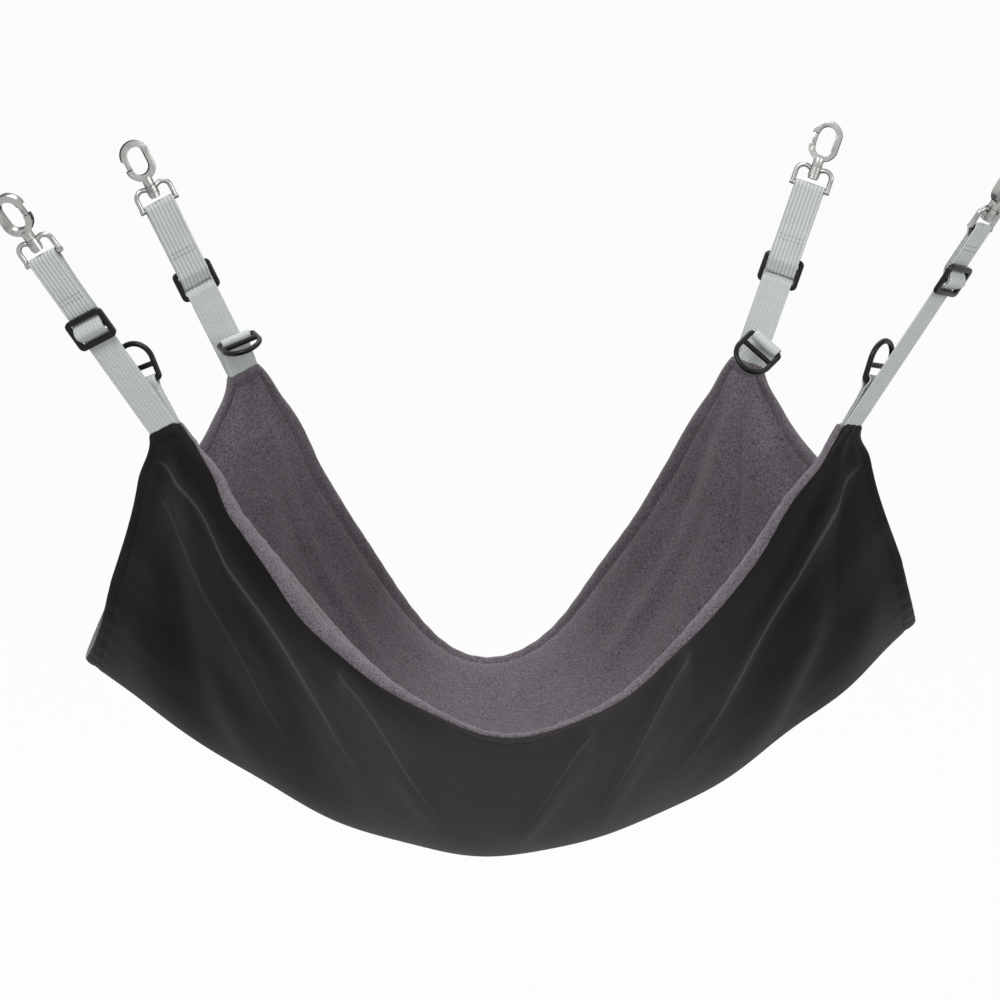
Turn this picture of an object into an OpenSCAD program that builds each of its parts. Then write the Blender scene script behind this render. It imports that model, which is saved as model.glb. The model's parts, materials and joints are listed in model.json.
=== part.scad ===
// Hanging pet hammock: a two-layer cloth sling, slung from four webbing straps.
// Each strap has a three-bar slider, a swivel snap hook and, at its corner, a short loop with a D-ring.
// Millimetres, +Z up, X along the sling, its front at -Y. The origin lies under the sling's middle,
// at the height of its lowest point. Corners run front left, front right, rear left, rear right.

/* [Sling] */
// Flat length of the cloth, from end to end
sling_l = 600; // [520:10:700]
// Flat width of the cloth, from front rim to rear rim
sling_w = 450; // [400:10:520]
// Thickness of the fleece lining
fleece_t = 3; // [2:0.25:5]
// Thickness of the smooth outer cloth
shell_t = 1.5; // [0.8:0.1:3]
// Leg of the cut that makes each corner blunt
corner_cut = 24; // [22:1:32]
// Angle between the two hems where they are gathered into a corner, in degrees
corner_angle = 52; // [48:1:80]

/* [Hang] */
// Slope of the cloth's ends on its centre line, in degrees
belly_slope = 46; // [40:0.5:52]
// Slope of the front rim's ends, in degrees
front_slope = 56.5; // [50:0.5:60]
// Slope of the rear rim's ends, in degrees
rear_slope = 62.5; // [56:0.5:66]
// Distance over which the centre line turns up
belly_bend = 185; // [150:5:220]
// Distance over which the front rim turns up
front_bend = 100; // [70:5:140]
// Distance over which the rear rim turns up
rear_bend = 45; // [35:1:80]
// Rise of the front panel's middle over the low point, before its rim rolls
front_rise = 118; // [90:1:130]
// Rise of the rear panel's middle over the low point, before its rim rolls
rear_rise = 66; // [50:1:90]
// Roundness of the fold at the sling's two ends
end_roundness = 0.12; // [0.05:0.01:0.4]
// How much higher the right end hangs, and lower the left
end_skew = 9; // [-15:1:15]
// Width of the rims that roll outward
roll_w = 26; // [24:1:50]
// Drop of the rolled front rim
front_roll = 10; // [0:1:14]
// Drop of the rolled rear rim
rear_roll = 6; // [0:1:12]
// Depth of the folds that run in from the corners
fold_depth = 5; // [0:0.5:8]
// Reach of those folds
fold_reach = 260; // [180:10:320]
// Radius within which the cloth lies in its strap's plane
corner_flat = 30; // [26:1:40]
// Radius beyond which the strap no longer turns the cloth
corner_reach = 105; // [70:1:120]
// Turn of the cloth outward from each strap's line, in degrees
corner_turn = [9, 16, 8, 7]; // [0:1:30]

/* [Straps] */
// Width of the webbing
webbing_w = 20; // [15:1:25]
// Thickness of the webbing
webbing_t = 1.2; // [0.9:0.1:1.6]
// Free webbing from a corner to the slider, up to the eye and back to the slider
strap_l = 174; // [168:1:210]
// Length of each strap's loop from its slider to its eye
loop_l = [50.5, 35, 55.5, 57]; // [34:0.5:60]
// Lean of each strap outward along X, in degrees
strap_spread = [33, 31, 25, 20]; // [5:1:45]
// Lean of each strap outward along Y, in degrees
strap_lean = [8, 8, -4, 10]; // [-10:1:25]
// Turn of each strap's face outward about its own length, in degrees
strap_turn = [20, 52, 15, 15]; // [0:1:60]
// Length of webbing sewn into a corner
sewn_l = 22; // [15:1:30]
// Length of the fold-back sewn above each slider
tail_l = 20; // [12:1:26]

/* [Slider] */
// Height of the slider along the strap
slider_h = 20.5; // [18:0.5:26]
// Thickness of the slider's frame
slider_t = 2.8; // [2:0.1:4]
// Height of its top and bottom bars
slider_bar = 3.4; // [2.5:0.1:4]
// Width of its side rails
slider_rail = 3.2; // [2.5:0.1:5]
// Diameter of its centre bar
slider_core = 2.8; // [2:0.1:3.4]

/* [Eye and hook] */
// Wire diameter of the swivel eye
eye_wire = 3.2; // [2.5:0.1:4]
// Height of the eye's straight legs
eye_leg = 8; // [7:0.5:14]
// Bend radius of the eye's shoulders
eye_bend = 5; // [4:0.25:6]
// Angle through which each shoulder bends, in degrees
eye_turn = 115; // [100:1:125]
// Diameter of the boss that holds the swivel
boss_d = 7.5; // [6.5:0.25:9]
// Height of that boss
boss_h = 6.5; // [5:0.25:8]
// Diameter of the swivel post
post_d = 4; // [3:0.1:5]
// Diameter of the post's riveted head
head_d = 6.4; // [5.5:0.1:7.5]
// Thickness of that head
head_h = 1.5; // [1:0.1:2]
// Diameter of the collar over the boss
collar_d = 6.8; // [5.5:0.1:7.4]
// Height of the collar and neck under the hook
neck_h = 5; // [4:0.5:8]
// Radius of the hook's throat
throat_r = 5.5; // [4.5:0.25:8]
// Wall of the hook round its throat
hook_wall = 4.1; // [3.5:0.1:6]
// Length of the throat's straight sides
throat_l = 8; // [6:0.5:14]
// Thickness of the hook
hook_t = 5; // [4:0.25:7]
// Depth to which the neck runs into the hook
neck_sunk = 1; // [0.5:0.1:1.5]
// Width of the gate
gate_w = 2.8; // [2.2:0.1:3]
// Thickness of the gate
gate_t = 2.6; // [2.2:0.1:3]
// Diameter of the gate's pin
gate_pin_d = 1.6; // [1.2:0.1:1.8]
// Wire diameter of the gate's spring
spring_wire = 0.34; // [0.25:0.01:0.36]

/* [D-rings] */
// Length of each D-ring's webbing loop, from its seam to the ring's bar
d_loop_l = 20; // [18:0.5:30]
// Tilt of each loop from its strap toward the rim's middle, in degrees
d_loop_tilt = [6, 0, 6, -22]; // [-30:1:60]
// Bend of each loop over toward the fleece side, in degrees
d_loop_bend = [14, 14, 86, 135]; // [13:1:140]
// Further droop of each ring, in degrees
d_ring_droop = [4, 4, 14, 10]; // [0:1:40]
// Rod diameter of a D-ring
d_rod = 3.5; // [2.5:0.1:4.5]
// Length of a D-ring from its base bar to its arc, centre to centre
d_ring_l = 24.5; // [20:0.5:32]
// Distance of its crossbar from its base bar, centre to centre
d_crossbar = 9; // [7:0.5:12]

/* [Fits] */
// Gap between two plies of webbing
ply_gap = 0.1; // [0.05:0.05:0.2]
// Gap between webbing and the bar that it goes round
seat_gap = 0.15; // [0.1:0.05:0.3]
// Gap between the webbing's edges and the frame round them
edge_gap = 0.25; // [0.15:0.05:0.5]
// Gap between a moving piece and the piece that carries it
joint_gap = 0.3; // [0.2:0.05:0.4]
// Radial play of a swivel or of a gate on its pin
swivel_play = 0.06; // [0.02:0.01:0.1]
// Radial play of a pin that stays put
pin_seat = 0.02; // [0.01:0.01:0.05]

/* [Hidden] */
$fn = 48;

CORNERS = ["front_left", "front_right", "rear_left", "rear_right"];
CORNER_PIECES = ["strap", "strap_loop", "slider", "eye", "hook", "gate", "gate_pin", "gate_spring",
    "d_loop", "d_ring"];
NODES = concat(
    ["oxford_shell", "fleece_lining", "corner_tabs"],
    [for (corner = CORNERS, piece = CORNER_PIECES) str(corner, "_", piece)]
);
node = "all";

shell_colour = [0.15, 0.145, 0.155];
fleece_colour = [0.34, 0.31, 0.34];
webbing_colour = [0.71, 0.74, 0.73];
black_colour = [0.13, 0.13, 0.14];
nickel_colour = [0.55, 0.55, 0.56];

function unit(v) = v / norm(v);
function mix(a, b, share) = a * (1 - share) + b * share;
function smooth(x) = let (t = min(1, max(0, x))) t * t * (3 - 2 * t);
function tanh(x) = 1 - 2 / (exp(2 * x) + 1);
function total(list) = list * [for (x = list) 1];

// The flat cloth as a grid, with its last column and row a corner cut wide
half_cols = 14;
half_rows = 10;
cols = 2 * half_cols + 1;
rows = 2 * half_rows + 1;
function station(k, half, count) =
    sign(k) * (abs(k) < count ? abs(k) * (half - corner_cut) / (count - 1) : half);
ps = [for (k = [-half_cols:half_cols]) station(k, sling_l / 2, half_cols)];
qs = [for (k = [-half_rows:half_rows]) station(k, sling_w / 2, half_rows)];

// Hung shape, row by row: each row keeps its length and turns up toward its ends
integral_steps = 4;
function end_share(v) =
    let (e = end_roundness) (sqrt(v * v + e * e) - e) / (sqrt(1 + e * e) - e);
function slope(p, v) =
    let (
        share = end_share(v),
        end_slope = mix(belly_slope, v < 0 ? front_slope : rear_slope, share),
        bend = mix(belly_bend, v < 0 ? front_bend : rear_bend, share)
    )
    end_slope * tanh(p / bend);
function run(p0, p1, v) =
    let (
        d = (p1 - p0) / integral_steps,
        slopes = [for (k = [0.5:1:integral_steps]) slope(p0 + k * d, v)]
    )
    [total([for (a = slopes) cos(a)]), total([for (a = slopes) sin(a)])] * d;
function half_row(v) = [
    for (
        k = half_cols, xz = [0, 0];
        k < cols;
        xz = k < cols - 1 ? xz + run(ps[k], ps[k + 1], v) : xz, k = k + 1
    ) xz
];
function rise(p, q) =
    let (
        v = 2 * q / sling_w,
        rolled = max(0, abs(q) - (sling_w / 2 - roll_w)) / roll_w,
        drop = q < 0 ? front_roll : rear_roll
    )
    (q < 0 ? front_rise : rear_rise) * v * v
        - drop * rolled * rolled * pow(cos(180 * p / sling_l), 2)
        + end_skew * (2 * p / sling_l) * (1 - end_share(v));
row_xz = [
    for (q = qs)
        let (half = half_row(2 * q / sling_w))
        [for (k = [-half_cols:half_cols])
            let (xz = half[abs(k)])
            [sign(k) * xz.x, xz.y + rise(ps[k + half_cols], q)]]
];

// Depth, column by column: each column keeps its length too
least_depth = 0.2;
function depth_step(j0, j1, i) =
    let (d = abs(qs[j1] - qs[j0]), shift = norm(row_xz[j1][i] - row_xz[j0][i]))
    sqrt(max(pow(least_depth * d, 2), d * d - shift * shift));
depth = [
    for (i = [0:cols - 1])
        let (
            rear = [for (j = half_rows, y = 0; j < rows;
                y = j < rows - 1 ? y + depth_step(j, j + 1, i) : y, j = j + 1) y],
            front = [for (j = half_rows, y = 0; j >= 0;
                y = j > 0 ? y - depth_step(j, j - 1, i) : y, j = j - 1) y]
        )
        [for (j = [0:rows - 1]) j < half_rows ? front[half_rows - j] : rear[j - half_rows]]
];
mid_depth = (depth[half_cols][0] + depth[half_cols][rows - 1]) / 2;
hung = [
    for (j = [0:rows - 1])
        [for (i = [0:cols - 1])
            [row_xz[j][i].x, depth[i][j] - mid_depth, row_xz[j][i].y + shell_t]]
];

// Corner frames: x across the webbing, y toward the fleece side, z up the strap
function side_x(c) = c % 2 == 0 ? -1 : 1;
function side_y(c) = c < 2 ? -1 : 1;
function strap_axis(c) = unit([side_x(c) * tan(strap_spread[c]), side_y(c) * tan(strap_lean[c]), 1]);
function face_axis(c) =
    let (
        up = strap_axis(c),
        out = [0, side_y(c), 0],
        flat = unit(out - (out * up) * up),
        turn = strap_turn[c] * side_x(c) * -side_y(c)
    )
    -(flat * cos(turn) + cross(up, flat) * sin(turn));
function width_axis(c) = cross(face_axis(c), strap_axis(c));
function corner_flat_pos(c) = [side_x(c) * sling_l, side_y(c) * sling_w] / 2;
function corner_pos(c) =
    let (
        i = c % 2 == 0 ? 0 : cols - 1,
        j = c < 2 ? 0 : rows - 1
    )
    (hung[j][i - side_x(c)] + hung[j - side_y(c)][i]) / 2;
corner_at = [for (c = [0:3]) corner_pos(c)];

// The cloth near a corner lies in its strap's plane, and folds run in from there
function corner_of(p, q) = (q < 0 ? 0 : 2) + (p < 0 ? 0 : 1);
function is_corner(i, j) = i % (cols - 1) == 0 && j % (rows - 1) == 0;
function corner_share(pos, c) =
    smooth((corner_reach - norm(pos - corner_flat_pos(c))) / (corner_reach - corner_flat));
function corner_patch(pos, c) =
    let (
        d = corner_flat_pos(c) - pos,
        r = norm(d),
        across = (side_y(c) * d.x - side_x(c) * d.y) / sqrt(2),
        turn = corner_turn[c] * side_x(c) * side_y(c) * smooth((r - corner_cut) / corner_flat),
        angle = (r > 0 ? asin(across / r) * corner_angle / 90 : 0) - turn,
        down = r * cos(angle) - corner_cut * cos(corner_angle / 2)
    )
    corner_at[c] + width_axis(c) * r * sin(angle) - strap_axis(c) * max(0, down);
draped = [
    for (j = [0:rows - 1])
        [for (i = [0:cols - 1])
            let (pos = [ps[i], qs[j]], c = corner_of(pos.x, pos.y))
            mix(hung[j][i], corner_patch(pos, c), corner_share(pos, c))]
];
folds_per_corner = 3;
function fold(pos, c) =
    let (
        d = pos - corner_flat_pos(c),
        r = norm(d) / fold_reach,
        angle = atan2(abs(d.y), abs(d.x))
    )
    r >= 1 ? 0 : fold_depth * pow(sin(180 * r), 2) * sin(2 * angle) * cos(4 * folds_per_corner * angle);
function grid_normal(grid, i, j) =
    is_corner(i, j) ? face_axis(corner_of(ps[i], qs[j])) : unit(cross(
        grid[j][min(i + 1, cols - 1)] - grid[j][max(i - 1, 0)],
        grid[min(j + 1, rows - 1)][i] - grid[max(j - 1, 0)][i]
    ));
folded = [
    for (j = [0:rows - 1])
        [for (i = [0:cols - 1])
            let (pos = [ps[i], qs[j]])
            draped[j][i] + grid_normal(draped, i, j) * fold(pos, corner_of(pos.x, pos.y))]
];
inward = [
    for (j = [0:rows - 1])
        [for (i = [0:cols - 1])
            let (pos = [ps[i], qs[j]], c = corner_of(pos.x, pos.y))
            unit(mix(grid_normal(folded, i, j), face_axis(c), corner_share(pos, c)))]
];

// One layer of cloth between two offsets from the sheet where the layers meet
function vertex(i, j, layer) = (layer * rows + j) * cols + i;
function cell(i, j, layer) =
    let (
        a = vertex(i, j, layer),
        b = vertex(i, j + 1, layer),
        c = vertex(i + 1, j + 1, layer),
        d = vertex(i + 1, j, layer),
        rising = (i < half_cols) == (j < half_rows)
    )
    rising ? [[a, b, c], [a, c, d]] : [[a, b, d], [b, c, d]];
function turned(face) = [face[2], face[1], face[0]];
function wall(i0, j0, i1, j1) =
    let (a = vertex(i0, j0, 0), b = vertex(i1, j1, 0), c = vertex(i1, j1, 1), d = vertex(i0, j0, 1))
    [[a, d, c], [a, c, b]];
module cloth_layer(low, high) {
    points = [
        for (offset = [low, high], j = [0:rows - 1], i = [0:cols - 1])
            folded[j][i] + inward[j][i] * offset
    ];
    faces = concat(
        [for (j = [0:rows - 2], i = [0:cols - 2], face = cell(i, j, 1)) face],
        [for (j = [0:rows - 2], i = [0:cols - 2], face = cell(i, j, 0)) turned(face)],
        [for (i = [0:cols - 2], face = wall(i, 0, i + 1, 0)) face],
        [for (i = [0:cols - 2], face = wall(i + 1, rows - 1, i, rows - 1)) face],
        [for (j = [0:rows - 2], face = wall(0, j + 1, 0, j)) face],
        [for (j = [0:rows - 2], face = wall(cols - 1, j, cols - 1, j + 1)) face]
    );
    polyhedron(points, faces);
}

// Places on a strap, measured from the seam's hinge line
seam_gap = 2;
hinge_at = [for (c = [0:3]) corner_at[c] + strap_axis(c) * seam_gap];
slider_y = -(slider_t / 2 + 2 * ply_gap + webbing_t / 2);
core_r = slider_core / 2;
wrap_r = core_r + ply_gap + webbing_t / 2;
hump_r = wrap_r + webbing_t + ply_gap;
hump_angle = 50;
window_z = slider_h / 2 - slider_bar;
tail_y = webbing_t + ply_gap;
return_y = 2 * tail_y;
eye_r = eye_wire / 2;
eye_y = webbing_t / 2 + seat_gap + eye_r;
bight_r = eye_y;
slider_at = [for (c = [0:3]) strap_l - 2 * loop_l[c]];
function eye_z(c) = slider_at[c] + loop_l[c];
nose_inset = 0.03;

module at_corner(c) {
    x = width_axis(c);
    y = face_axis(c);
    z = strap_axis(c);
    translate(hinge_at[c])
        multmatrix([[x.x, y.x, z.x, 0], [x.y, y.y, z.y, 0], [x.z, y.z, z.z, 0], [0, 0, 0, 1]])
            children();
}

// Webbing along a path in the strap's side view, as [y, z] points
function arc(centre, r, from, to, count) =
    [for (k = [0:count]) let (a = from + (to - from) * k / count) centre + r * [cos(a), sin(a)]];
function miter(path, k) =
    let (
        last = len(path) - 1,
        before = unit(path[max(k, 1)] - path[max(k, 1) - 1]),
        after = unit(path[min(k, last - 1) + 1] - path[min(k, last - 1)]),
        along = unit(before + after)
    )
    [-along.y, along.x] / (along * after);
function ribbon(path, t) = concat(
    [for (k = [0:len(path) - 1]) path[k] + miter(path, k) * t / 2],
    [for (k = [len(path) - 1:-1:0]) path[k] - miter(path, k) * t / 2]
);
module across(width) {
    rotate([90, 0, 90])
        linear_extrude(height = width, center = true)
            children();
}
module web(path, t) {
    across(webbing_w)
        polygon(ribbon(path, t));
}
module rod_x(r, length) {
    rotate([0, 90, 0])
        cylinder(r = r, h = length, center = true);
}

// Lower strap: up behind the bottom bar, out over the centre bar, back behind the top bar
strap_top = slider_h / 2 - joint_gap;
ramp_z = window_z - ply_gap;
ramp = unit([0, ramp_z] - [slider_y - hump_r * cos(hump_angle), hump_r * sin(hump_angle)]);
ramp_miter = (1 - ramp.y) / ramp.x;
module strap(c) {
    z = slider_at[c];
    path = concat(
        [[0, 0], [0, z - ramp_z]],
        arc([slider_y, z], hump_r, 180 + hump_angle, 180 - hump_angle, 8),
        [[0, z + ramp_z], [0, z + strap_top]]
    );
    color(webbing_colour)
        union() {
            web(path, webbing_t);
            rod_x(webbing_t / 2 - nose_inset, webbing_w);
        }
}

// Upper strap: up to the eye, round its bar, down again, round the centre bar and back up as the sewn tail
module strap_loop(c) {
    z = slider_at[c];
    eye_bar = [eye_y, eye_z(c)];
    tail_top = z + slider_h / 2 + tail_l - slider_bar / 2;
    parting = [return_y, tail_top + 2 * webbing_t];
    slack = parting - eye_bar;
    bight_end = atan2(slack.y, slack.x) + acos(min(1, bight_r / norm(slack)));
    path = concat(
        [[0, z + slider_h / 2]],
        arc(eye_bar, bight_r, 180, bight_end, 14),
        [parting, [return_y, z + ramp_z - return_y * ramp_miter]],
        arc([slider_y, z], wrap_r, 0, -180 - hump_angle, 16),
        [[tail_y, z + ramp_z - tail_y * ramp_miter], [tail_y, tail_top]]
    );
    color(webbing_colour)
        web(path, webbing_t);
}

// Three-bar slider, with a round centre bar
frame_in = webbing_w + 2 * edge_gap;
slider_w = frame_in + 2 * slider_rail;
module slider(c) {
    bar_z = (slider_h - slider_bar) / 2;
    color(black_colour)
        translate([0, slider_y, slider_at[c]])
            union() {
                for (s = [-1, 1]) {
                    translate([0, 0, s * bar_z])
                        cube([slider_w, slider_t, slider_bar], center = true);
                    translate([s * (frame_in + slider_rail) / 2, 0, 0])
                        cube([slider_rail, slider_t, slider_h - slider_bar], center = true);
                }
                rod_x(core_r, frame_in + slider_rail);
            }
}

// Swivel eye: base bar, legs, shoulders that dip to the boss
leg_x = frame_in / 2 + eye_r;
leg_r = eye_r - nose_inset;
shoulder_x = leg_x - eye_bend;
shoulder_end = [shoulder_x + eye_bend * cos(eye_turn), eye_leg + eye_bend * sin(eye_turn)];
boss_z = shoulder_end.y + shoulder_end.x / tan(eye_turn);
boss_bottom = boss_z - boss_h / 2;
boss_top = boss_z + boss_h / 2;
module eye_side() {
    translate([leg_x, 0, 0])
        cylinder(r = leg_r, h = eye_leg);
    translate([shoulder_x, 0, eye_leg])
        rotate([90, 0, 0])
            rotate_extrude(angle = eye_turn)
                translate([eye_bend, 0])
                    circle(r = leg_r);
    translate([shoulder_end.x, 0, shoulder_end.y]) {
        sphere(r = eye_r);
        rotate([0, -eye_turn, 0])
            cylinder(r = leg_r, h = shoulder_end.x / sin(eye_turn));
    }
}
module eye(c) {
    color(nickel_colour)
        at_eye(c)
            difference() {
                union() {
                    rod_x(eye_r, 2 * (leg_x + eye_r));
                    eye_side();
                    mirror([1, 0, 0])
                        eye_side();
                    translate([0, 0, boss_bottom])
                        cylinder(d = boss_d, h = boss_h);
                }
                translate([0, 0, boss_bottom - boss_h / 2])
                    cylinder(d = post_d + 2 * swivel_play, h = 2 * boss_h);
            }
}
module at_eye(c) {
    translate([0, eye_y, eye_z(c)])
        children();
}

// Snap hook on its swivel post, with a slot for the gate
hook_r = throat_r + hook_wall;
neck_z = boss_top + seat_gap;
throat_z = neck_z + neck_h + hook_r - neck_sunk;
tip_z = throat_z + throat_l;
gate_x = throat_r + ply_gap + gate_w / 2;
gate_z = throat_z - gate_pin_d;
slot_t = gate_t + 2 * seat_gap;
nose_end = 0.6;
gate_tip = 0.4;
gate_head = gate_w / 2 + 0.5;
module capsule(r, t) {
    for (z = [throat_z, tip_z])
        translate([0, 0, z])
            rotate([90, 0, 0])
                cylinder(r = r, h = t, center = true);
    translate([0, 0, (throat_z + tip_z) / 2])
        cube([2 * r, t, throat_l], center = true);
}
module hook(c) {
    color(nickel_colour)
        at_eye(c) {
            difference() {
                union() {
                    capsule(hook_r, hook_t);
                    translate([0, 0, neck_z])
                        cylinder(d = collar_d, h = neck_h + neck_sunk);
                }
                capsule(throat_r, 2 * hook_t);
                translate([throat_r / 2, -hook_t, throat_z + nose_end])
                    cube([hook_r, 2 * hook_t, throat_l - 2 * nose_end]);
                translate([throat_r / 2, -slot_t / 2, gate_z - gate_head - joint_gap])
                    cube([hook_r, slot_t, tip_z - gate_z]);
                translate([throat_r / 2, -slot_t / 2, tip_z - 2 * nose_end])
                    cube([gate_x + gate_w / 2 + seat_gap - throat_r / 2, slot_t, 2 * nose_end + 2 * gate_tip]);
                translate([gate_x, 0, gate_z])
                    rotate([90, 0, 0])
                        cylinder(d = gate_pin_d + 2 * pin_seat, h = 2 * hook_t, center = true);
            }
            translate([0, 0, boss_bottom - seat_gap - head_h / 2])
                cylinder(d = post_d, h = boss_h + 2 * seat_gap + head_h);
            translate([0, 0, boss_bottom - seat_gap - head_h])
                cylinder(d = head_d, h = head_h);
        }
}

// Gate that swings into the throat, on a pin through the hook's two ears
spring_room = 3 * spring_wire + seat_gap / 2;
spring_side = gate_t / 2 - spring_room;
module gate(c) {
    color(nickel_colour)
        at_eye(c)
            translate([gate_x, 0, gate_z])
                difference() {
                    union() {
                        rotate([90, 0, 0])
                            cylinder(r = gate_head, h = gate_t, center = true);
                        translate([-gate_w / 2, -gate_t / 2, 0])
                            cube([gate_w, gate_t, tip_z + gate_tip - gate_z]);
                    }
                    rotate([90, 0, 0])
                        cylinder(d = gate_pin_d + 2 * swivel_play, h = 2 * gate_t, center = true);
                    translate([0, spring_side + gate_t, 0])
                        rotate([90, 0, 0])
                            cylinder(r = gate_head + joint_gap, h = 2 * gate_t, center = true);
                }
}
module gate_pin(c) {
    color(nickel_colour)
        at_eye(c)
            translate([gate_x, 0, gate_z])
                rotate([90, 0, 0])
                    cylinder(d = gate_pin_d, h = hook_t, center = true);
}

// Torsion spring wound round the gate's pin, beside the gate
spring_turns = 2;
spring_rings = 8;
spring_sides = 6;
module gate_spring(c) {
    pitch = spring_wire + ply_gap;
    coil_r = gate_pin_d / 2 + spring_wire / 2 + seat_gap;
    count = spring_turns * spring_rings;
    start_y = spring_side + seat_gap / 2 + spring_wire / 2;
    function ring_point(k, s) =
        let (a = 360 * k / spring_rings, b = 360 * s / spring_sides, r = coil_r + spring_wire / 2 * cos(b))
        [r * cos(a), start_y + pitch * k / spring_rings + spring_wire / 2 * sin(b), r * sin(a)];
    function at(k, s) = k * spring_sides + s % spring_sides;
    points = [for (k = [0:count], s = [0:spring_sides - 1]) ring_point(k, s)];
    faces = concat(
        [for (k = [0:count - 1], s = [0:spring_sides - 1]) [at(k, s), at(k + 1, s), at(k + 1, s + 1)]],
        [for (k = [0:count - 1], s = [0:spring_sides - 1]) [at(k, s), at(k + 1, s + 1), at(k, s + 1)]],
        [[for (s = [0:spring_sides - 1]) at(0, s)]],
        [[for (s = [spring_sides - 1:-1:0]) at(count, s)]]
    );
    color(nickel_colour)
        at_eye(c)
            translate([gate_x, 0, gate_z])
                polyhedron(points, faces);
}

// D-ring's loop: two plies sewn in beside the strap, bent over toward the fleece side
double_t = 2 * webbing_t + ply_gap;
d_loop_y = webbing_t / 2 + joint_gap + double_t / 2;
ring_seat_r = d_rod / 2 + seat_gap;
corner_half = corner_cut * sin(corner_angle / 2);
seam_drop = 8;
seam_r = norm([corner_half, seam_drop]) + 2 * seam_gap;
loop_steps = 8;
function loop_tilt(c) = d_loop_tilt[c] * side_x(c) * side_y(c);
module at_d_loop(c) {
    tilt = loop_tilt(c);
    translate([seam_r * sin(tilt), d_loop_y, seam_r * cos(tilt) - seam_drop - seam_gap])
        rotate([0, tilt, 0])
            children();
}
function bend_point(c, s) =
    let (a = d_loop_bend[c] * s, r = d_loop_l / (d_loop_bend[c] * PI / 180))
    [r * (1 - cos(a)), r * sin(a)];
module d_loop(c) {
    reach = 1 - (ring_seat_r + webbing_t / 2) / d_loop_l;
    path = [for (k = [0:loop_steps]) bend_point(c, reach * k / loop_steps)];
    bar = bend_point(c, 1);
    color(webbing_colour)
        at_d_loop(c)
            difference() {
                union() {
                    web(path, double_t);
                    rod_x(double_t / 2 - nose_inset, webbing_w);
                    translate([0, bar.x, bar.y])
                        rod_x(ring_seat_r + webbing_t, webbing_w);
                }
                translate([0, bar.x, bar.y])
                    rod_x(ring_seat_r, 2 * webbing_w);
            }
}

// D-ring: base bar in the loop, crossbar, legs and arc
ring_x = frame_in / 2 + d_rod / 2;
ring_arc_z = d_ring_l - ring_x;
ring_leg_r = d_rod / 2 - nose_inset;
module d_ring(c) {
    bar = bend_point(c, 1);
    color(black_colour)
        at_d_loop(c)
            translate([0, bar.x, bar.y])
                rotate([-(d_loop_bend[c] + d_ring_droop[c]), 0, 0])
                    union() {
                        rod_x(d_rod / 2, 2 * ring_x + d_rod);
                        translate([0, 0, d_crossbar])
                            rod_x(ring_leg_r - nose_inset, 2 * ring_x);
                        for (s = [-1, 1])
                            translate([s * ring_x, 0, 0])
                                cylinder(r = ring_leg_r, h = ring_arc_z);
                        translate([0, 0, ring_arc_z])
                            rotate([90, 0, 0])
                                rotate_extrude(angle = 180)
                                    translate([ring_x, 0])
                                        circle(r = ring_leg_r);
                    }
}

// Sling pieces: the two cloths, and the webbing ends sewn between them
module oxford_shell() {
    color(shell_colour)
        cloth_layer(-shell_t, 0);
}
module fleece_lining() {
    color(fleece_colour)
        cloth_layer(0, fleece_t);
}
module corner_tab(t) {
    top = webbing_t / 2 + t / 2 + ply_gap - nose_inset;
    translate([0, 0, -(top + seam_gap + sewn_l) / 2])
        cube([webbing_w, t, seam_gap + sewn_l - top], center = true);
}
module corner_tabs() {
    color(webbing_colour)
        for (c = [0:3])
            at_corner(c) {
                corner_tab(webbing_t);
                at_d_loop(c)
                    corner_tab(double_t);
            }
}

function shown(name) = node == "all" || node == name;
function part_of(c, piece) = str(CORNERS[c], "_", piece);

if (shown("oxford_shell")) oxford_shell();
if (shown("fleece_lining")) fleece_lining();
if (shown("corner_tabs")) corner_tabs();
for (c = [0:3])
    at_corner(c) {
        if (shown(part_of(c, "strap"))) strap(c);
        if (shown(part_of(c, "strap_loop"))) strap_loop(c);
        if (shown(part_of(c, "slider"))) slider(c);
        if (shown(part_of(c, "eye"))) eye(c);
        if (shown(part_of(c, "hook"))) hook(c);
        if (shown(part_of(c, "gate"))) gate(c);
        if (shown(part_of(c, "gate_pin"))) gate_pin(c);
        if (shown(part_of(c, "gate_spring"))) gate_spring(c);
        if (shown(part_of(c, "d_loop"))) d_loop(c);
        if (shown(part_of(c, "d_ring"))) d_ring(c);
    }
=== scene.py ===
"""Hanging pet hammock: cloth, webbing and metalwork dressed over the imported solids.

Lengths are metres in the frame of the solids: +Z up, X along the sling, its front at -Y.
Each corner of the sling has a frame of its own, read from the joints: across the webbing,
inward to the fleece side, and up the strap. A place on the flat cloth is p along it and q
across it, both from its middle.
"""

from __future__ import annotations

import json
import logging
import math
from contextlib import contextmanager
from dataclasses import dataclass, field
from enum import Enum
from functools import reduce
from typing import Any, Callable, Iterator, Sequence

import bpy
import numpy as np
from mathutils import Matrix, Vector

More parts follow.
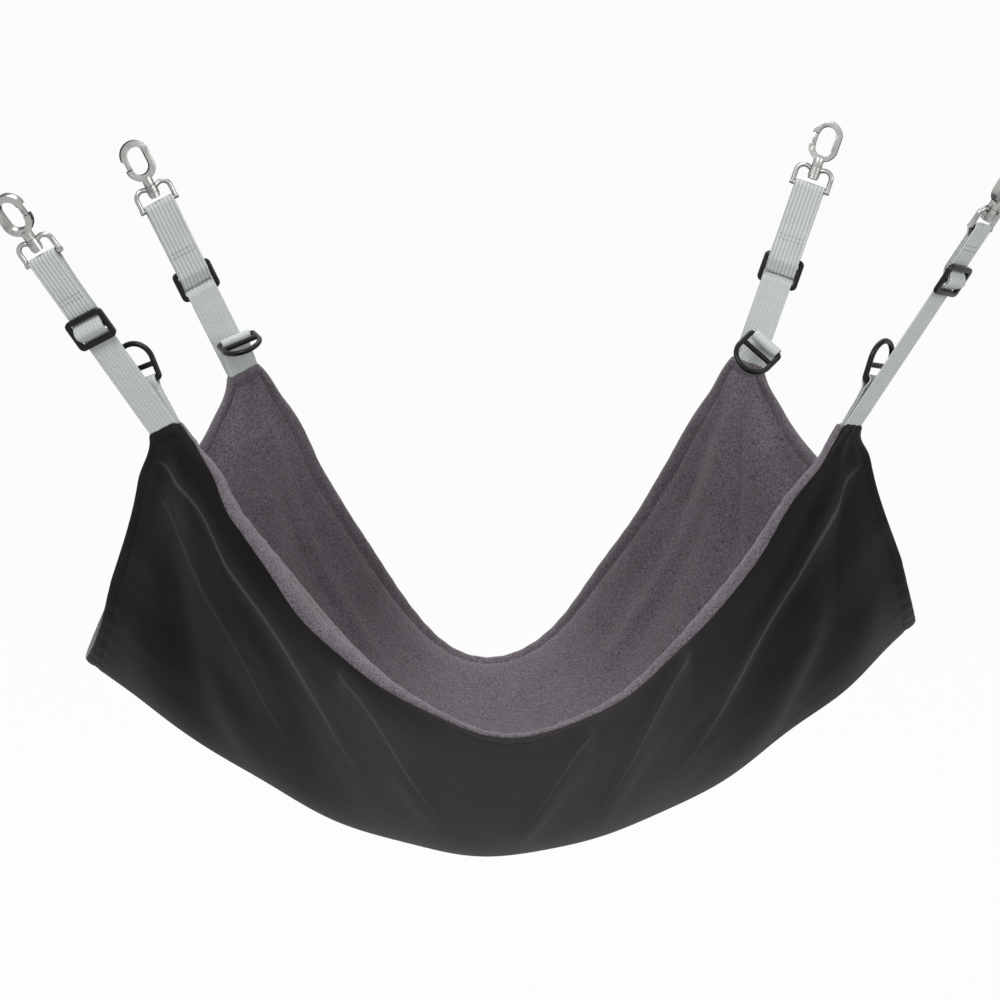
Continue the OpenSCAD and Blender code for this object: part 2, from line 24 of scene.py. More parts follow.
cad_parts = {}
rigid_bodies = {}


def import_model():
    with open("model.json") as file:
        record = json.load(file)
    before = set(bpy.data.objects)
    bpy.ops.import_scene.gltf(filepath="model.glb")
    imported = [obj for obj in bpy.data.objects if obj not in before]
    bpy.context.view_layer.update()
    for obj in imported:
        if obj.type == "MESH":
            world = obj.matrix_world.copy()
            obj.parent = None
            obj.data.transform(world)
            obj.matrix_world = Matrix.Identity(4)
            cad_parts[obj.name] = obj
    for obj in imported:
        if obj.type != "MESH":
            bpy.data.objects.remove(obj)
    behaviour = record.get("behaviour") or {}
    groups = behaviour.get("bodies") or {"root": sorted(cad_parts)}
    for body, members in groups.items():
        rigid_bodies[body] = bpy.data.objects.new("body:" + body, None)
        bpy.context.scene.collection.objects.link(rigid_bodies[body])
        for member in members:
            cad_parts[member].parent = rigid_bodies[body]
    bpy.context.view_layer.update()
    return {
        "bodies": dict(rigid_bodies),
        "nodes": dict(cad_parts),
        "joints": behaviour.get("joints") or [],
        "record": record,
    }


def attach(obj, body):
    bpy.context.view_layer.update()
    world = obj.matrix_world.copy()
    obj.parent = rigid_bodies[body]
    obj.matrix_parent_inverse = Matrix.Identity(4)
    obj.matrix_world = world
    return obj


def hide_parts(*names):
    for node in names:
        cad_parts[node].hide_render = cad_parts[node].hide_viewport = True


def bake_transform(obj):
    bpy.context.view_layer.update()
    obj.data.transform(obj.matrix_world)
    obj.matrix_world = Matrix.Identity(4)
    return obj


LOG = logging.getLogger("hammock")
TURN = 2 * math.pi
RIB_PITCH = 0.0025

Array = np.ndarray
Piece = bpy.types.Object
Triple = tuple[float, float, float]
Sockets = dict[Any, Any]


class Corner(Enum):
    """The sling's four corners, by the names that the solids give them."""

    FRONT_LEFT = "front_left"
    FRONT_RIGHT = "front_right"
    REAR_LEFT = "rear_left"
    REAR_RIGHT = "rear_right"

    @property
    def side_x(self) -> int:
        """-1 at the left corners, 1 at the right ones."""
        return -1 if self.value.endswith("left") else 1

    @property
    def side_y(self) -> int:
        """-1 at the front corners, 1 at the rear ones."""
        return -1 if self.value.startswith("front") else 1

    def body(self, piece: str) -> str:
        """The moving body of one of this corner's pieces."""
        return f"{self.value}_{piece}_body"

    def node(self, piece: str) -> str:
        """The solid of one of this corner's pieces."""
        return f"{self.value}_{piece}"


def unit(v: Array) -> Array:
    """Vectors scaled to length 1."""
    return v / np.maximum(np.linalg.norm(v, axis=-1, keepdims=True), 1e-12)


def smooth(x: Array | float) -> Array:
    """A step from 0 to 1 with level ends."""
    t = np.clip(x, 0.0, 1.0)
    return t * t * (3 - 2 * t)


def mix(a: Any, b: Any, share: Any) -> Any:
    """A value between a, at share 0, and b, at share 1."""
    return a + (b - a) * share


def run_length(line: Array) -> Array:
    """How far along a line each of its points is."""
    return np.concatenate([[0], np.cumsum(np.linalg.norm(np.diff(line, axis=0), axis=1))])


def read_along(at: Array, run: Array, values: Array) -> Array:
    """Values along a line, read at some lengths along it."""
    return np.stack([np.interp(at, run, column) for column in values.T], axis=-1)


# Shader expressions


def math_method(operation: str, swapped: bool = False) -> Callable[..., "Value"]:
    """Makes a method of Value that adds one Math node.

    Args:
        operation: What the node does.
        swapped: Whether the value comes second, as in 1 - mask.

    Returns:
        The method.
    """

    def method(self: "Value", *others: Any) -> "Value":
        """The node's result on this value and others."""
        items = (*others, self) if swapped else (self, *others)
        return self.graph.node("ShaderNodeMath", {"operation": operation}, dict(enumerate(items)))

    return method


class Value:
    """A shader socket that Python's operators act on."""

    def __init__(self, graph: "Graph", socket: bpy.types.NodeSocket) -> None:
        """Wraps one output socket of a graph's node."""
        self.graph = graph
        self.socket = socket

    __add__, __radd__ = math_method("ADD"), math_method("ADD", swapped=True)
    __sub__, __rsub__ = math_method("SUBTRACT"), math_method("SUBTRACT", swapped=True)
    __mul__, __rmul__ = math_method("MULTIPLY"), math_method("MULTIPLY", swapped=True)
    __truediv__, __rtruediv__ = math_method("DIVIDE"), math_method("DIVIDE", swapped=True)
    __pow__, __rpow__ = math_method("POWER"), math_method("POWER", swapped=True)
    __abs__, sine, floor = math_method("ABSOLUTE"), math_method("SINE"), math_method("FLOOR")
    least, most = math_method("MINIMUM"), math_method("MAXIMUM")

    def clamped(self) -> "Value":
        """This value, kept from 0 to 1."""
        return self.most(0.0).least(1.0)

    def wave(self) -> "Value":
        """A wave from 0 to 1, once in each whole step of this value."""
        return (self * TURN).sine() * 0.5 + 0.5

    def step(self, low: float, high: float) -> "Value":
        """A smooth step from 0 at low to 1 at high."""
        inputs = {"Value": self, "From Min": low, "From Max": high}
        return self.graph.node("ShaderNodeMapRange", {"interpolation_type": "SMOOTHSTEP"}, inputs)


class Graph:
    """The node graph of a material or of the world."""

    MIX_SHARE, MIX_LOW, MIX_HIGH, MIXED = 0, 6, 7, 2

    def __init__(self, owner: bpy.types.Material | bpy.types.World, end: str) -> None:
        """Empties an owner's graph and adds its end.

        Args:
            owner: The material or world.
            end: The type of its output node.
        """
        owner.use_nodes = True
        self.owner = owner
        self.tree = owner.node_tree
        self.tree.nodes.clear()
        self.end = self.add(end)

    @classmethod
    def material(cls, name: str) -> "Graph":
        """The empty graph of a new material."""
        return cls(bpy.data.materials.new(name), "ShaderNodeOutputMaterial")

    def add(
        self, kind: str, settings: Sockets | None = None, inputs: Sockets | None = None
    ) -> bpy.types.Node:
        """Adds any node.

        Args:
            kind: The node's type.
            settings: Its properties, set first.
            inputs: Values or links of its sockets, by name or number.

        Returns:
            The node.
        """
        made = self.tree.nodes.new(kind)
        for key, item in (settings or {}).items():
            setattr(made, key, item)
        for key, item in (inputs or {}).items():
            self.feed(made.inputs[key], item)
        return made

    def node(
        self, kind: str, settings: Sockets | None = None, inputs: Sockets | None = None, out: Any = 0
    ) -> Value:
        """One output of a new node, by name or number."""
        return Value(self, self.add(kind, settings, inputs).outputs[out])

    def feed(self, socket: bpy.types.NodeSocket, item: Any) -> None:
        """Links or sets one input.

        Args:
            socket: The input.
            item: A value, a number, or a colour or vector of three numbers.
        """
        if isinstance(item, Value):
            self.tree.links.new(item.socket, socket)
        elif isinstance(item, tuple) and socket.type == "RGBA":
            socket.default_value = (*item, 1.0)
        else:
            socket.default_value = item

    def uv(self) -> tuple[Value, Value]:
        """The piece's own UV map, in metres.

        Returns:
            Its two values.
        """
        mapped = self.node("ShaderNodeUVMap", {"uv_map": "Cut"})
        split = self.add("ShaderNodeSeparateXYZ", {}, {0: mapped})
        return Value(self, split.outputs[0]), Value(self, split.outputs[1])

    def place(self) -> Value:
        """Object coordinates."""
        return self.node("ShaderNodeTexCoord", out="Object")

    def noise(
        self, scale: float, detail: float = 2.0, at: Value | None = None, roughness: float = 0.5
    ) -> Value:
        """Noise from 0 to 1.

        Args:
            scale: Cells per metre.
            detail: Octaves.
            at: Where to read it; Object coordinates when left out.
            roughness: Share of the finer octaves.

        Returns:
            The noise.
        """
        inputs = {
            "Vector": at or self.place(), "Scale": scale, "Detail": detail, "Roughness": roughness,
        }
        return self.node("ShaderNodeTexNoise", {"noise_dimensions": "3D"}, inputs)

    def tint(self, low: Any, high: Any, share: Any) -> Value:
        """A colour between low, at share 0, and high, at share 1."""
        inputs = {self.MIX_SHARE: share, self.MIX_LOW: low, self.MIX_HIGH: high}
        return self.node("ShaderNodeMix", {"data_type": "RGBA"}, inputs, self.MIXED)

    def bump(
        self, height: Value, distance: float, strength: float = 1.0, under: Value | None = None
    ) -> Value:
        """A bumped normal.

        Args:
            height: Relief from 0 to 1.
            distance: Height of the relief in metres.
            strength: Share of it that shows.
            under: A normal to build on.

        Returns:
            The normal.
        """
        inputs: Sockets = {"Height": height, "Distance": distance, "Strength": strength}
        if under is not None:
            inputs["Normal"] = under
        return self.node("ShaderNodeBump", {}, inputs)

    def finish(self, **sockets: Any) -> bpy.types.Material:
        """Ends the graph in a Principled shader and hands the material over.

        Args:
            **sockets: The shader's inputs, with _ for each space in a name.

        Returns:
            The material.
        """
        inputs = {key.replace("_", " "): item for key, item in sockets.items()}
        self.surface(self.node("ShaderNodeBsdfPrincipled", {}, inputs))
        return self.owner

    def surface(self, shader: Value) -> None:
        """Links a shader to the graph's end."""
        self.feed(self.end.inputs["Surface"], shader)


# Finishes


@dataclass(frozen=True)
class Ridge:
    """A tension fold, along a curve on the flat cloth that sets out straight and turns to the belly.

    Attributes:
        start: Where it begins, on the flat cloth.
        end: Where it ends.
        power: How late it turns.
        height: Height of the fold.
        width: Half width of its crest.
        fades: Shares of its length over which it rises and dies away.
    """

    start: tuple[float, float]
    end: tuple[float, float]
    power: float
    height: float
    width: float
    fades: tuple[float, float] = (0.15, 0.35)

    def share(self, p: Any) -> Any:
        """Share of the way along the fold, at a place along the cloth."""
        return (p - self.start[0]) / (self.end[0] - self.start[0])

    def crest(self, share: Any) -> Any:
        """Where the crest is across the cloth, at a share from 0 to 1."""
        return share**self.power * (self.end[1] - self.start[1]) + self.start[1]

    def offset(self, p: Array, q: Array) -> tuple[Array, Array]:
        """How far places on the flat cloth are from the crest.

        Args:
            p: Places along.
            q: Places across.

        Returns:
            The distances across the cloth, and how much of the fold is there, from 0 to 1.
        """
        share = self.share(p)
        off = q - self.crest(np.clip(share, 0.0, 1.0))
        return off, smooth(share / self.fades[0]) * smooth((1 - share) / self.fades[1])

    def profile(self, off: Array) -> Array:
        """Height of the fold at distances from its crest."""
        return self.height / (1 + (off / self.width) ** 2)


RIDGES = (
    Ridge((-0.292, -0.187), (-0.070, -0.105), 5.0, 0.0026, 0.0045),
    Ridge((-0.285, -0.171), (-0.125, -0.095), 2.4, 0.0046, 0.0130),
    Ridge((-0.118, -0.194), (-0.034, -0.115), 2.5, 0.0022, 0.0050),
    Ridge((0.292, -0.176), (0.098, -0.100), 3.4, 0.0026, 0.0045),
    Ridge((0.124, -0.200), (0.050, -0.120), 2.2, 0.0024, 0.0050),
    Ridge((0.052, -0.205), (0.000, -0.115), 1.8, 0.0018, 0.0060),
)

REAR_RIDGES = (
    Ridge((-0.285, 0.206), (-0.060, 0.166), 1.2, 0.0042, 0.0050),
    Ridge((-0.285, 0.200), (-0.150, 0.090), 1.0, 0.0085, 0.0120),
    Ridge((0.285, 0.200), (0.060, 0.164), 1.2, 0.0050, 0.0075),
    Ridge((0.285, 0.196), (0.150, 0.090), 1.0, 0.0080, 0.0120),
)


@dataclass(frozen=True)
class OxfordFinish:
    """Black tight-woven polyester with a faint sheen; its middle is painted lighter as a painted highlight,
    and its folds carry painted highlights.
    """

    dark: Triple = (0.0050, 0.0045, 0.0050)
    light: Triple = (0.0150, 0.0132, 0.0144)
    # Colour of the painted highlights: the lit middle, the light streaks and the soft lighter zones about
    # the folds.
    painted_highlight: Triple = (0.0440, 0.0400, 0.0425)
    # Colour of the painted highlight lines on the fold crests.
    painted_crest_highlight: Triple = (0.0860, 0.0820, 0.0850)
    yarn: float = 0.0007
    slubs: float = 260.0
    clouds: float = 9.0
    # Stretch of the painted light streaks, along and across the cloth.
    light_streak_stretch: tuple[float, float] = (5.0, 38.0)
    # Where the painted highlight in the middle fades out, along the cloth.
    middle: tuple[float, float] = (0.04, 0.22)
    crest_w: float = 0.0009
    sharp_w: float = 0.004
    # Half width of the soft painted highlight about each fold, in crest widths.
    highlight_band_w: float = 2.4
    # Shares along each fold over which its painted highlights rise and die away.
    highlight_rise: tuple[float, float] = (0.0, 0.12)
    highlight_fade: tuple[float, float] = (0.7, 1.0)
    weave_h: float = 0.00022
    crest_h: float = 0.0007

    def painted_fold_highlights(self, u: Value, v: Value) -> tuple[Value, Value]:
        """The painted highlights on the tension folds.

        Args:
            u: Place along the flat cloth.
            v: Place across it.

        Returns:
            The thin painted highlight lines on each crest and the soft painted highlights about them, 1 on
            a crest and 0 away from it.
        """
        lines, soft_fold_highlights = [], []
        for ridge in RIDGES:
            share = ridge.share(u)
            off = abs(v - ridge.crest(share.clamped()))
            there = share.step(*self.highlight_rise) * (1.0 - share.step(*self.highlight_fade))
            # Painted highlight: a thin lighter line on each fold's crest.
            line = (1.0 - off.step(0.0, 2 * self.crest_w)) * there
            lines.append(line * min(1.0, self.sharp_w / ridge.width))
            # Painted highlight: a soft lighter zone about each fold's crest.
            soft_fold_highlights.append((1.0 - off.step(0.0, self.highlight_band_w * ridge.width)) * there)
        return reduce(Value.most, lines), reduce(Value.most, soft_fold_highlights)

    def make(self) -> bpy.types.Material:
        """Builds the material.

        Returns:
            The material.
        """
        graph = Graph.material("oxford_cloth")
        u, v = graph.uv()
        turn = TURN / self.yarn
        weave = ((u * turn).sine() * (v * turn).sine()) * 0.5 + 0.5
        slub = graph.noise(self.slubs, 3.0)
        cloud = graph.noise(self.clouds, 3.0)
        # Painted highlights on the folds: thin lines on each crest and soft zones about them; the lines
        # also set roughness and bump.
        crest, soft_fold_highlight = self.painted_fold_highlights(u, v)
        # Painted highlight: the middle of the cloth is painted lighter, where light falls on it.
        middle = 1.0 - abs(u).step(*self.middle)
        # Painted light: lighter streaks drawn out along the cloth, standing for light on its soft folds.
        drawn = {0: u * self.light_streak_stretch[0], 1: v * self.light_streak_stretch[1]}
        painted_light_streak = graph.noise(1.0, 2.0, graph.node("ShaderNodeCombineXYZ", {}, drawn)).step(0.42, 0.70)
        black = graph.tint(self.dark, self.light, cloud * 0.6 + slub * 0.4)
        # Share of painted highlight, blended toward its colour: the lit middle, the light streaks and the
        # soft highlights about the folds.
        pale = middle * (cloud * 0.6 + 0.65) + painted_light_streak * 0.20 + soft_fold_highlight * 0.36
        cloth = graph.tint(black, self.painted_highlight, pale.least(1.0))
        # Painted highlight lines on the fold crests.
        colour = graph.tint(cloth, self.painted_crest_highlight, crest * 0.75)
        rough = 0.60 - crest * 0.12 + slub * 0.10
        relief = graph.bump(weave * 0.7 + slub * 0.3, self.weave_h, 0.6)
        normal = graph.bump(crest, self.crest_h, 0.8, relief)
        return graph.finish(
            Base_Color=colour, Roughness=rough, Normal=normal, Specular_IOR_Level=0.11, Sheen_Weight=0.012,
            Sheen_Roughness=0.4,
        )


@dataclass(frozen=True)
class FleeceFinish:
    """Short brushed pile that balls up slightly."""

    dark: Triple = (0.024, 0.019, 0.023)
    light: Triple = (0.262, 0.223, 0.258)
    tufts: float = 620.0
    tangle: float = 900.0
    tangle_by: float = 0.0016
    grain: float = 800.0
    brushed: float = 38.0
    nap: float = 7.0
    pile_h: float = 0.0012

    def make(self) -> bpy.types.Material:
        """Builds the material.

        Returns:
            The material.
        """
        graph = Graph.material("fleece_pile")
        place = graph.place()
        inputs = {"Vector": place, "Scale": self.tangle, "Detail": 2.0}
        bent = graph.node("ShaderNodeTexNoise", {}, inputs, "Color")
        inputs = {0: bent, 1: (self.tangle_by,) * 3, 2: place}
        moved = graph.node("ShaderNodeVectorMath", {"operation": "MULTIPLY_ADD"}, inputs)
        inputs = {"Vector": moved, "Scale": self.tufts}
        tufts = 1.0 - graph.node("ShaderNodeTexVoronoi", {"feature": "F1"}, inputs)
        fine = graph.noise(self.grain, 3.0, place, 0.75).step(0.28, 0.72)
        brushed = graph.noise(self.brushed, 4.0, place, 0.6)
        nap = graph.noise(self.nap, 2.0, place)
        share = tufts * 0.22 + fine * 0.62 + brushed * 0.26 + nap * 0.12 - 0.14
        colour = graph.tint(self.dark, self.light, share.clamped())
        normal = graph.bump(tufts * 0.55 + fine * 0.45, self.pile_h, 0.75)
        return graph.finish(
            Base_Color=colour, Roughness=0.96, Normal=normal, Specular_IOR_Level=0.15, Sheen_Weight=0.28,
            Sheen_Roughness=0.55,
        )


@dataclass(frozen=True)
class WebbingFinish:
    """Grey-green polypropylene webbing, ribbed along its length, with painted shade in the grooves between
    its ribs.
    """

    dark: Triple = (0.255, 0.274, 0.268)
    light: Triple = (0.760, 0.803, 0.795)
    pick: float = 0.00135
    fibres: float = 2200.0
    soiling: float = 60.0
    weave_h: float = 0.00030
    name: str = "grey_webbing"
    # Share of the rib wave in the relief and, as painted shade in the grooves, in the colour.
    ribbed: float = 0.40
    twilled: float = 0.12
    least: float = -0.05

    def make(self) -> bpy.types.Material:
        """Builds the material.

        Returns:
            The material.
        """
        graph = Graph.material(self.name)
        u, v = graph.uv()
        lane = u / RIB_PITCH
        rib = lane.wave()
        pick = (v / self.pick + lane.floor() * 0.5).wave()
        twill = (v / self.pick + lane * 2.0).wave()
        fibre = graph.noise(self.fibres, 2.0)
        soiled = graph.noise(self.soiling, 3.0)
        # The rib grooves are painted darker: painted shade that follows the rib relief. Pick and twill give
        # the weave's pattern.
        woven = rib * self.ribbed + pick * 0.30 + twill * self.twilled
        share = woven + fibre * 0.14 + soiled * 0.18 + self.least
        colour = graph.tint(self.dark, self.light, share.clamped())
        height = rib * (1.1 * self.ribbed) + pick * 0.25 + twill * 0.2 + fibre * 0.1
        normal = graph.bump(height, self.weave_h, 0.8)
        return graph.finish(
            Base_Color=colour, Roughness=0.72, Normal=normal, Specular_IOR_Level=0.3, Sheen_Weight=0.08,
        )


@dataclass(frozen=True)
class ThreadFinish:
    """Sewing thread, twisted from two strands."""

    name: str
    colour: Triple
    shade: Triple
    lint: float = 900.0
    twist_h: float = 0.0001

    def make(self) -> bpy.types.Material:
        """Builds the material.

        Returns:
            The material.
        """
        graph = Graph.material(self.name)
        u, v = graph.uv()
        strand = (u * 2.0 + v * 1.0).wave()
        lint = graph.noise(self.lint)
        colour = graph.tint(self.shade, self.colour, strand * 0.7 + lint * 0.3)
        normal = graph.bump(strand, self.twist_h, 0.6)
        return graph.finish(Base_Color=colour, Roughness=0.7, Normal=normal, Specular_IOR_Level=0.3)


@dataclass(frozen=True)
class LacquerFinish:
    """Black lacquer over steel, rubbed thin in places."""

    colour: Triple = (0.0045, 0.0045, 0.0050)
    rubbed: Triple = (0.050, 0.050, 0.052)
    grain: float = 520.0
    patches: float = 95.0
    grain_h: float = 0.00008

    def make(self) -> bpy.types.Material:
        """Builds the material.

        Returns:
            The material.
        """
        graph = Graph.material("black_lacquer")
        grain = graph.noise(self.grain, 3.0)
        patch = graph.noise(self.patches, 4.0, None, 0.6)
        rubbed = patch.step(0.56, 0.78) * grain.step(0.35, 0.75)
        colour = graph.tint(self.colour, self.rubbed, rubbed * 0.35)
        rough = 0.20 + grain * 0.10 + patch * 0.08
        normal = graph.bump(grain, self.grain_h, 0.4)
        return graph.finish(Base_Color=colour, Roughness=rough, Normal=normal, Specular_IOR_Level=0.22)


@dataclass(frozen=True)
class NickelFinish:
    """Nickel plate on a die casting, with fine scratches and a little tarnish."""

    bright: Triple = (0.44, 0.431, 0.418)
    dull: Triple = (0.150, 0.146, 0.141)
    rim: Triple = (0.022, 0.021, 0.021)
    scratches: float = 2600.0
    drawn: Triple = (1.0, 1.0, 0.12)
    tarnish: float = 140.0
    scratch_h: float = 0.00006

    def make(self) -> bpy.types.Material:
        """Builds the material.

        Returns:
            The material.
        """
        graph = Graph.material("nickel_plate")
        place = graph.place()
        drawn = graph.node("ShaderNodeMapping", {}, {"Vector": place, "Scale": self.drawn})
        scratch = graph.noise(self.scratches, 2.0, drawn)
        tarnish = graph.noise(self.tarnish, 3.0, place, 0.6).step(0.45, 0.8)
        colour = graph.tint(self.bright, self.dull, tarnish * 0.7 + scratch * 0.12)
        rough = 0.16 + scratch * 0.12 + tarnish * 0.18
        normal = graph.bump(scratch, self.scratch_h, 0.4)
        return graph.finish(
            Base_Color=colour, Metallic=1.0, Roughness=rough, Normal=normal, Specular_Tint=self.rim,
        )


class Finishes:
    """Every finish of the hammock, made once."""

    def __init__(self) -> None:
        """Builds the materials."""
        self.oxford = OxfordFinish().make()
        self.fleece = FleeceFinish().make()
        self.webbing = WebbingFinish().make()
        self.webbing_back = WebbingFinish(name="webbing_back", ribbed=0.10, twilled=0.24, least=0.06).make()
        black = ThreadFinish("black_thread", (0.030, 0.029, 0.031), (0.010, 0.010, 0.011))
        grey = ThreadFinish("grey_thread", (0.130, 0.118, 0.130), (0.060, 0.053, 0.059))
        pale = ThreadFinish("pale_thread", (0.56, 0.59, 0.58), (0.24, 0.26, 0.25))
        self.black_thread = black.make()
        self.grey_thread = grey.make()
        self.pale_thread = pale.make()
        self.lacquer = LacquerFinish().make()
        self.nickel = NickelFinish().make()


# Pieces


def deselect() -> None:
    """Leaves nothing selected."""
    bpy.ops.object.select_all(action="DESELECT")


def activate(piece: Piece) -> None:
    """Makes one object the only selected one.

    Args:
        piece: The object.
    """
    deselect()
    piece.select_set(True)
    bpy.context.view_layer.objects.active = piece


def linked(name: str, data: Any) -> Piece:
    """A new object, linked to the scene.

    Args:
        name: Its name.
        data: Its mesh, curve, camera or light.

    Returns:
        The object.
    """
    made = bpy.data.objects.new(name, data)
    bpy.context.scene.collection.objects.link(made)
    return made


@contextmanager
def editing(piece: Piece, select: str = "SELECT") -> Iterator[None]:
    """Opens a piece for edit-mode operators, and closes it again.

    Args:
        piece: The object.
        select: "SELECT" to begin with all of its mesh selected, "DESELECT" with none of it.
    """
    activate(piece)
    bpy.ops.object.mode_set(mode="EDIT")
    bpy.ops.mesh.select_all(action=select)
    yield
    bpy.ops.object.mode_set(mode="OBJECT")


def soften(piece: Piece, degrees: float) -> None:
    """Shades a piece smooth, but for edges sharper than an angle."""
    activate(piece)
    bpy.ops.object.shade_smooth_by_angle(angle=math.radians(degrees))


def apply_modifier(piece: Piece, kind: str, **settings: Any) -> None:
    """Adds a modifier and applies it.

    Args:
        piece: The object.
        kind: The modifier's type.
        **settings: Its properties.
    """
    activate(piece)
    added = piece.modifiers.new(kind.lower(), kind)
    for key, item in settings.items():
        setattr(added, key, item)
    bpy.ops.object.modifier_apply(modifier=added.name)


def bevel_edges(
    piece: Piece, chosen: Callable[[Vector, Vector], bool], offset: float, segments: int
) -> None:
    """Rounds the edges whose two ends pass a test.

    Args:
        piece: The object.
        chosen: The test of an edge's ends.
        offset: Width of the rounding.
        segments: Faces across it.
    """
    bpy.context.tool_settings.mesh_select_mode = (False, True, False)
    with editing(piece, "DESELECT"):
        bpy.ops.object.mode_set(mode="OBJECT")
        for edge in piece.data.edges:
            ends = [piece.data.vertices[k].co for k in edge.vertices]
            edge.select = chosen(*ends)
        bpy.ops.object.mode_set(mode="EDIT")
        bpy.ops.mesh.bevel(offset=offset, segments=segments, affect="EDGES")


def cut_piece(name: str, points: Array, faces: Sequence[Sequence[int]], cut: Array) -> Piece:
    """Makes a mesh object from points and faces.

    Args:
        name: The object's name.
        points: Its points.
        faces: Its faces, pointing outward.
        cut: Each point's place on the flat cloth, kept as a UV map.

    Returns:
        The object.
    """
    mesh = bpy.data.meshes.new(name)
    mesh.from_pydata(points.tolist(), [], [list(face) for face in faces])
    layer = mesh.uv_layers.new(name="Cut")
    order = np.zeros(len(mesh.loops), np.int32)
    mesh.loops.foreach_get("vertex_index", order)
    layer.data.foreach_set("uv", cut[order].astype(np.float32).ravel())
    mesh.polygons.foreach_set("use_smooth", np.ones(len(mesh.polygons), bool))
    mesh.update()
    return linked(name, mesh)


def dress(piece: Piece, material: bpy.types.Material) -> None:
    """Gives a piece its one material.

    Args:
        piece: The object.
        material: Its material.
    """
    piece.data.materials.clear()
    piece.data.materials.append(material)
    LOG.info("%s: %d faces", piece.name, len(piece.data.polygons))


def tube_faces(stations: int, sides: int) -> list[list[int]]:
    """Faces of a closed tube with flat ends.

    Args:
        stations: Rings along it.
        sides: Points in a ring, listed against the clock as seen from the tube's end.

    Returns:
        The faces.
    """
    faces = []
    for k in range(stations - 1):
        for s in range(sides):
            t = (s + 1) % sides
            faces.append([k * sides + s, k * sides + t, (k + 1) * sides + t, (k + 1) * sides + s])
    faces.append(list(range(sides))[::-1])
    faces.append([(stations - 1) * sides + s for s in range(sides)])
    return faces


@dataclass(frozen=True)
class CornerFrame:
    """Where one corner's pieces are, read from the joints.

    Attributes:
        corner: Which corner.
        hinge: Middle of the strap's seam.
        across: Direction across the webbing.
        inward: Direction to the fleece side.
        up: Direction up the strap.
        slider: Height of the slider above the seam.
        eye: Middle of the swivel eye's bar.
        seam: Middle of the D-ring loop's seam.
        seam_up: Direction in which that loop leaves its seam.
        ring: Middle of the D-ring's bar.
        ring_up: Direction from that bar to the D-ring's arc.
    """

    corner: Corner
    hinge: Array
    across: Array
    inward: Array
    up: Array
    slider: float
    eye: Array
    seam: Array
    seam_up: Array
    ring: Array
    ring_up: Array

    @classmethod
    def read(cls, corner: Corner, frame: dict[str, Any]) -> "CornerFrame":
        """Reads one corner.

        Args:
            corner: Which corner.

        Returns:
            Its places.
        """
        joints = {joint["name"]: joint for joint in frame["joints"]}

        def vector(joint: str, key: str) -> Array:
            """One vector of one of this corner's joints."""
            return np.array(joints[corner.node(joint)][key], float)

        def points(node: str) -> Array:
            """The points of one of this corner's solids."""
            return np.array([v.co for v in frame["nodes"][corner.node(node)].data.vertices], float)

        hinge = vector("strap_swing", "pos_m")
        across = unit(vector("strap_swing", "axis"))
        up = unit(vector("slider_slide", "axis"))
        heights = (points("slider") - hinge) @ up
        ring = vector("d_ring_pivot", "pos_m")
        tilt_across = -unit(vector("d_ring_pivot", "axis"))
        inward = unit(np.cross(up, across))
        lean = (points("d_ring") - ring).mean(axis=0)
        return cls(
            corner=corner,
            hinge=hinge,
            across=across,
            inward=inward,
            up=up,
            slider=float(heights.min() + heights.max()) / 2,
            eye=vector("eye_pivot", "pos_m"),
            seam=vector("d_loop_swing", "pos_m"),
            seam_up=unit(np.cross(tilt_across, inward)),
            ring=ring,
            ring_up=unit(lean - tilt_across * (lean @ tilt_across)),
        )

    @property
    def ring_across(self) -> Array:
        """Direction along the D-ring's bar."""
        return unit(np.cross(self.inward, self.seam_up))

    def at(self, x: float, y: float, z: float) -> Array:
        """A point given across, inward and up from the strap's seam."""
        return self.hinge + self.across * x + self.inward * y + self.up * z


# Cloth


@dataclass
class Stitches:
    """A row of thread stitches that lie on a face.

    Each of the rings is a share of the stitch's length and of its radius there.
    """

    pitch: float = 0.0042
    length: float = 0.0032
    radius: float = 0.00028
    sides: int = 6
    rings: tuple[tuple[float, float], ...] = (
        (-0.5, 0.25), (-0.38, 0.85), (0.0, 1.0), (0.38, 0.85), (0.5, 0.25),
    )
    bow: float = 0.0003
    sunk: float = 0.3

    def sew(self, name: str, line: Array, out: Array, closed: bool = False) -> Piece:
        """Sews stitches along a line.

        Args:
            name: The piece's name.
            line: Points of the line.
            out: Directions out of the face at those points.
            closed: Whether the line goes round to its start.

        Returns:
            The piece, one closed form for each stitch.
        """
        if closed:
            line, out = np.vstack([line, line[:1]]), np.vstack([out, out[:1]])
        run = run_length(line)
        count = max(1, int(run[-1] / self.pitch))
        places = (np.arange(count) + 0.5) * run[-1] / count
        normal = unit(read_along(places, run, out))
        ahead = np.minimum(places + self.pitch / 3, run[-1])
        along = unit(read_along(ahead, run, line) - read_along(places - self.pitch / 3, run, line))
        side = unit(np.cross(normal, along))
        middle = read_along(places, run, line)
        angles = np.arange(self.sides) * TURN / self.sides
        points, cut = [], []
        for share, width in self.rings:
            lift = self.bow * (1 - (2 * share) ** 2) - self.radius * self.sunk
            centre = middle + along * (share * self.length) + normal * lift
            ring = [
                centre + (side * math.cos(a) + normal * math.sin(a)) * self.radius * width for a in angles
            ]
            points.append(np.stack(ring, axis=1))
            cut.append([(a / TURN, share) for a in angles])
        solid = np.stack(points, axis=1).reshape(count, -1, 3)
        template = np.array(cut).reshape(-1, 2)
        faces = tube_faces(len(self.rings), self.sides)
        size = solid.shape[1]
        every = [[index + k * size for index in face] for k in range(count) for face in faces]
        return cut_piece(name, solid.reshape(-1, 3), every, np.tile(template, (count, 1)))


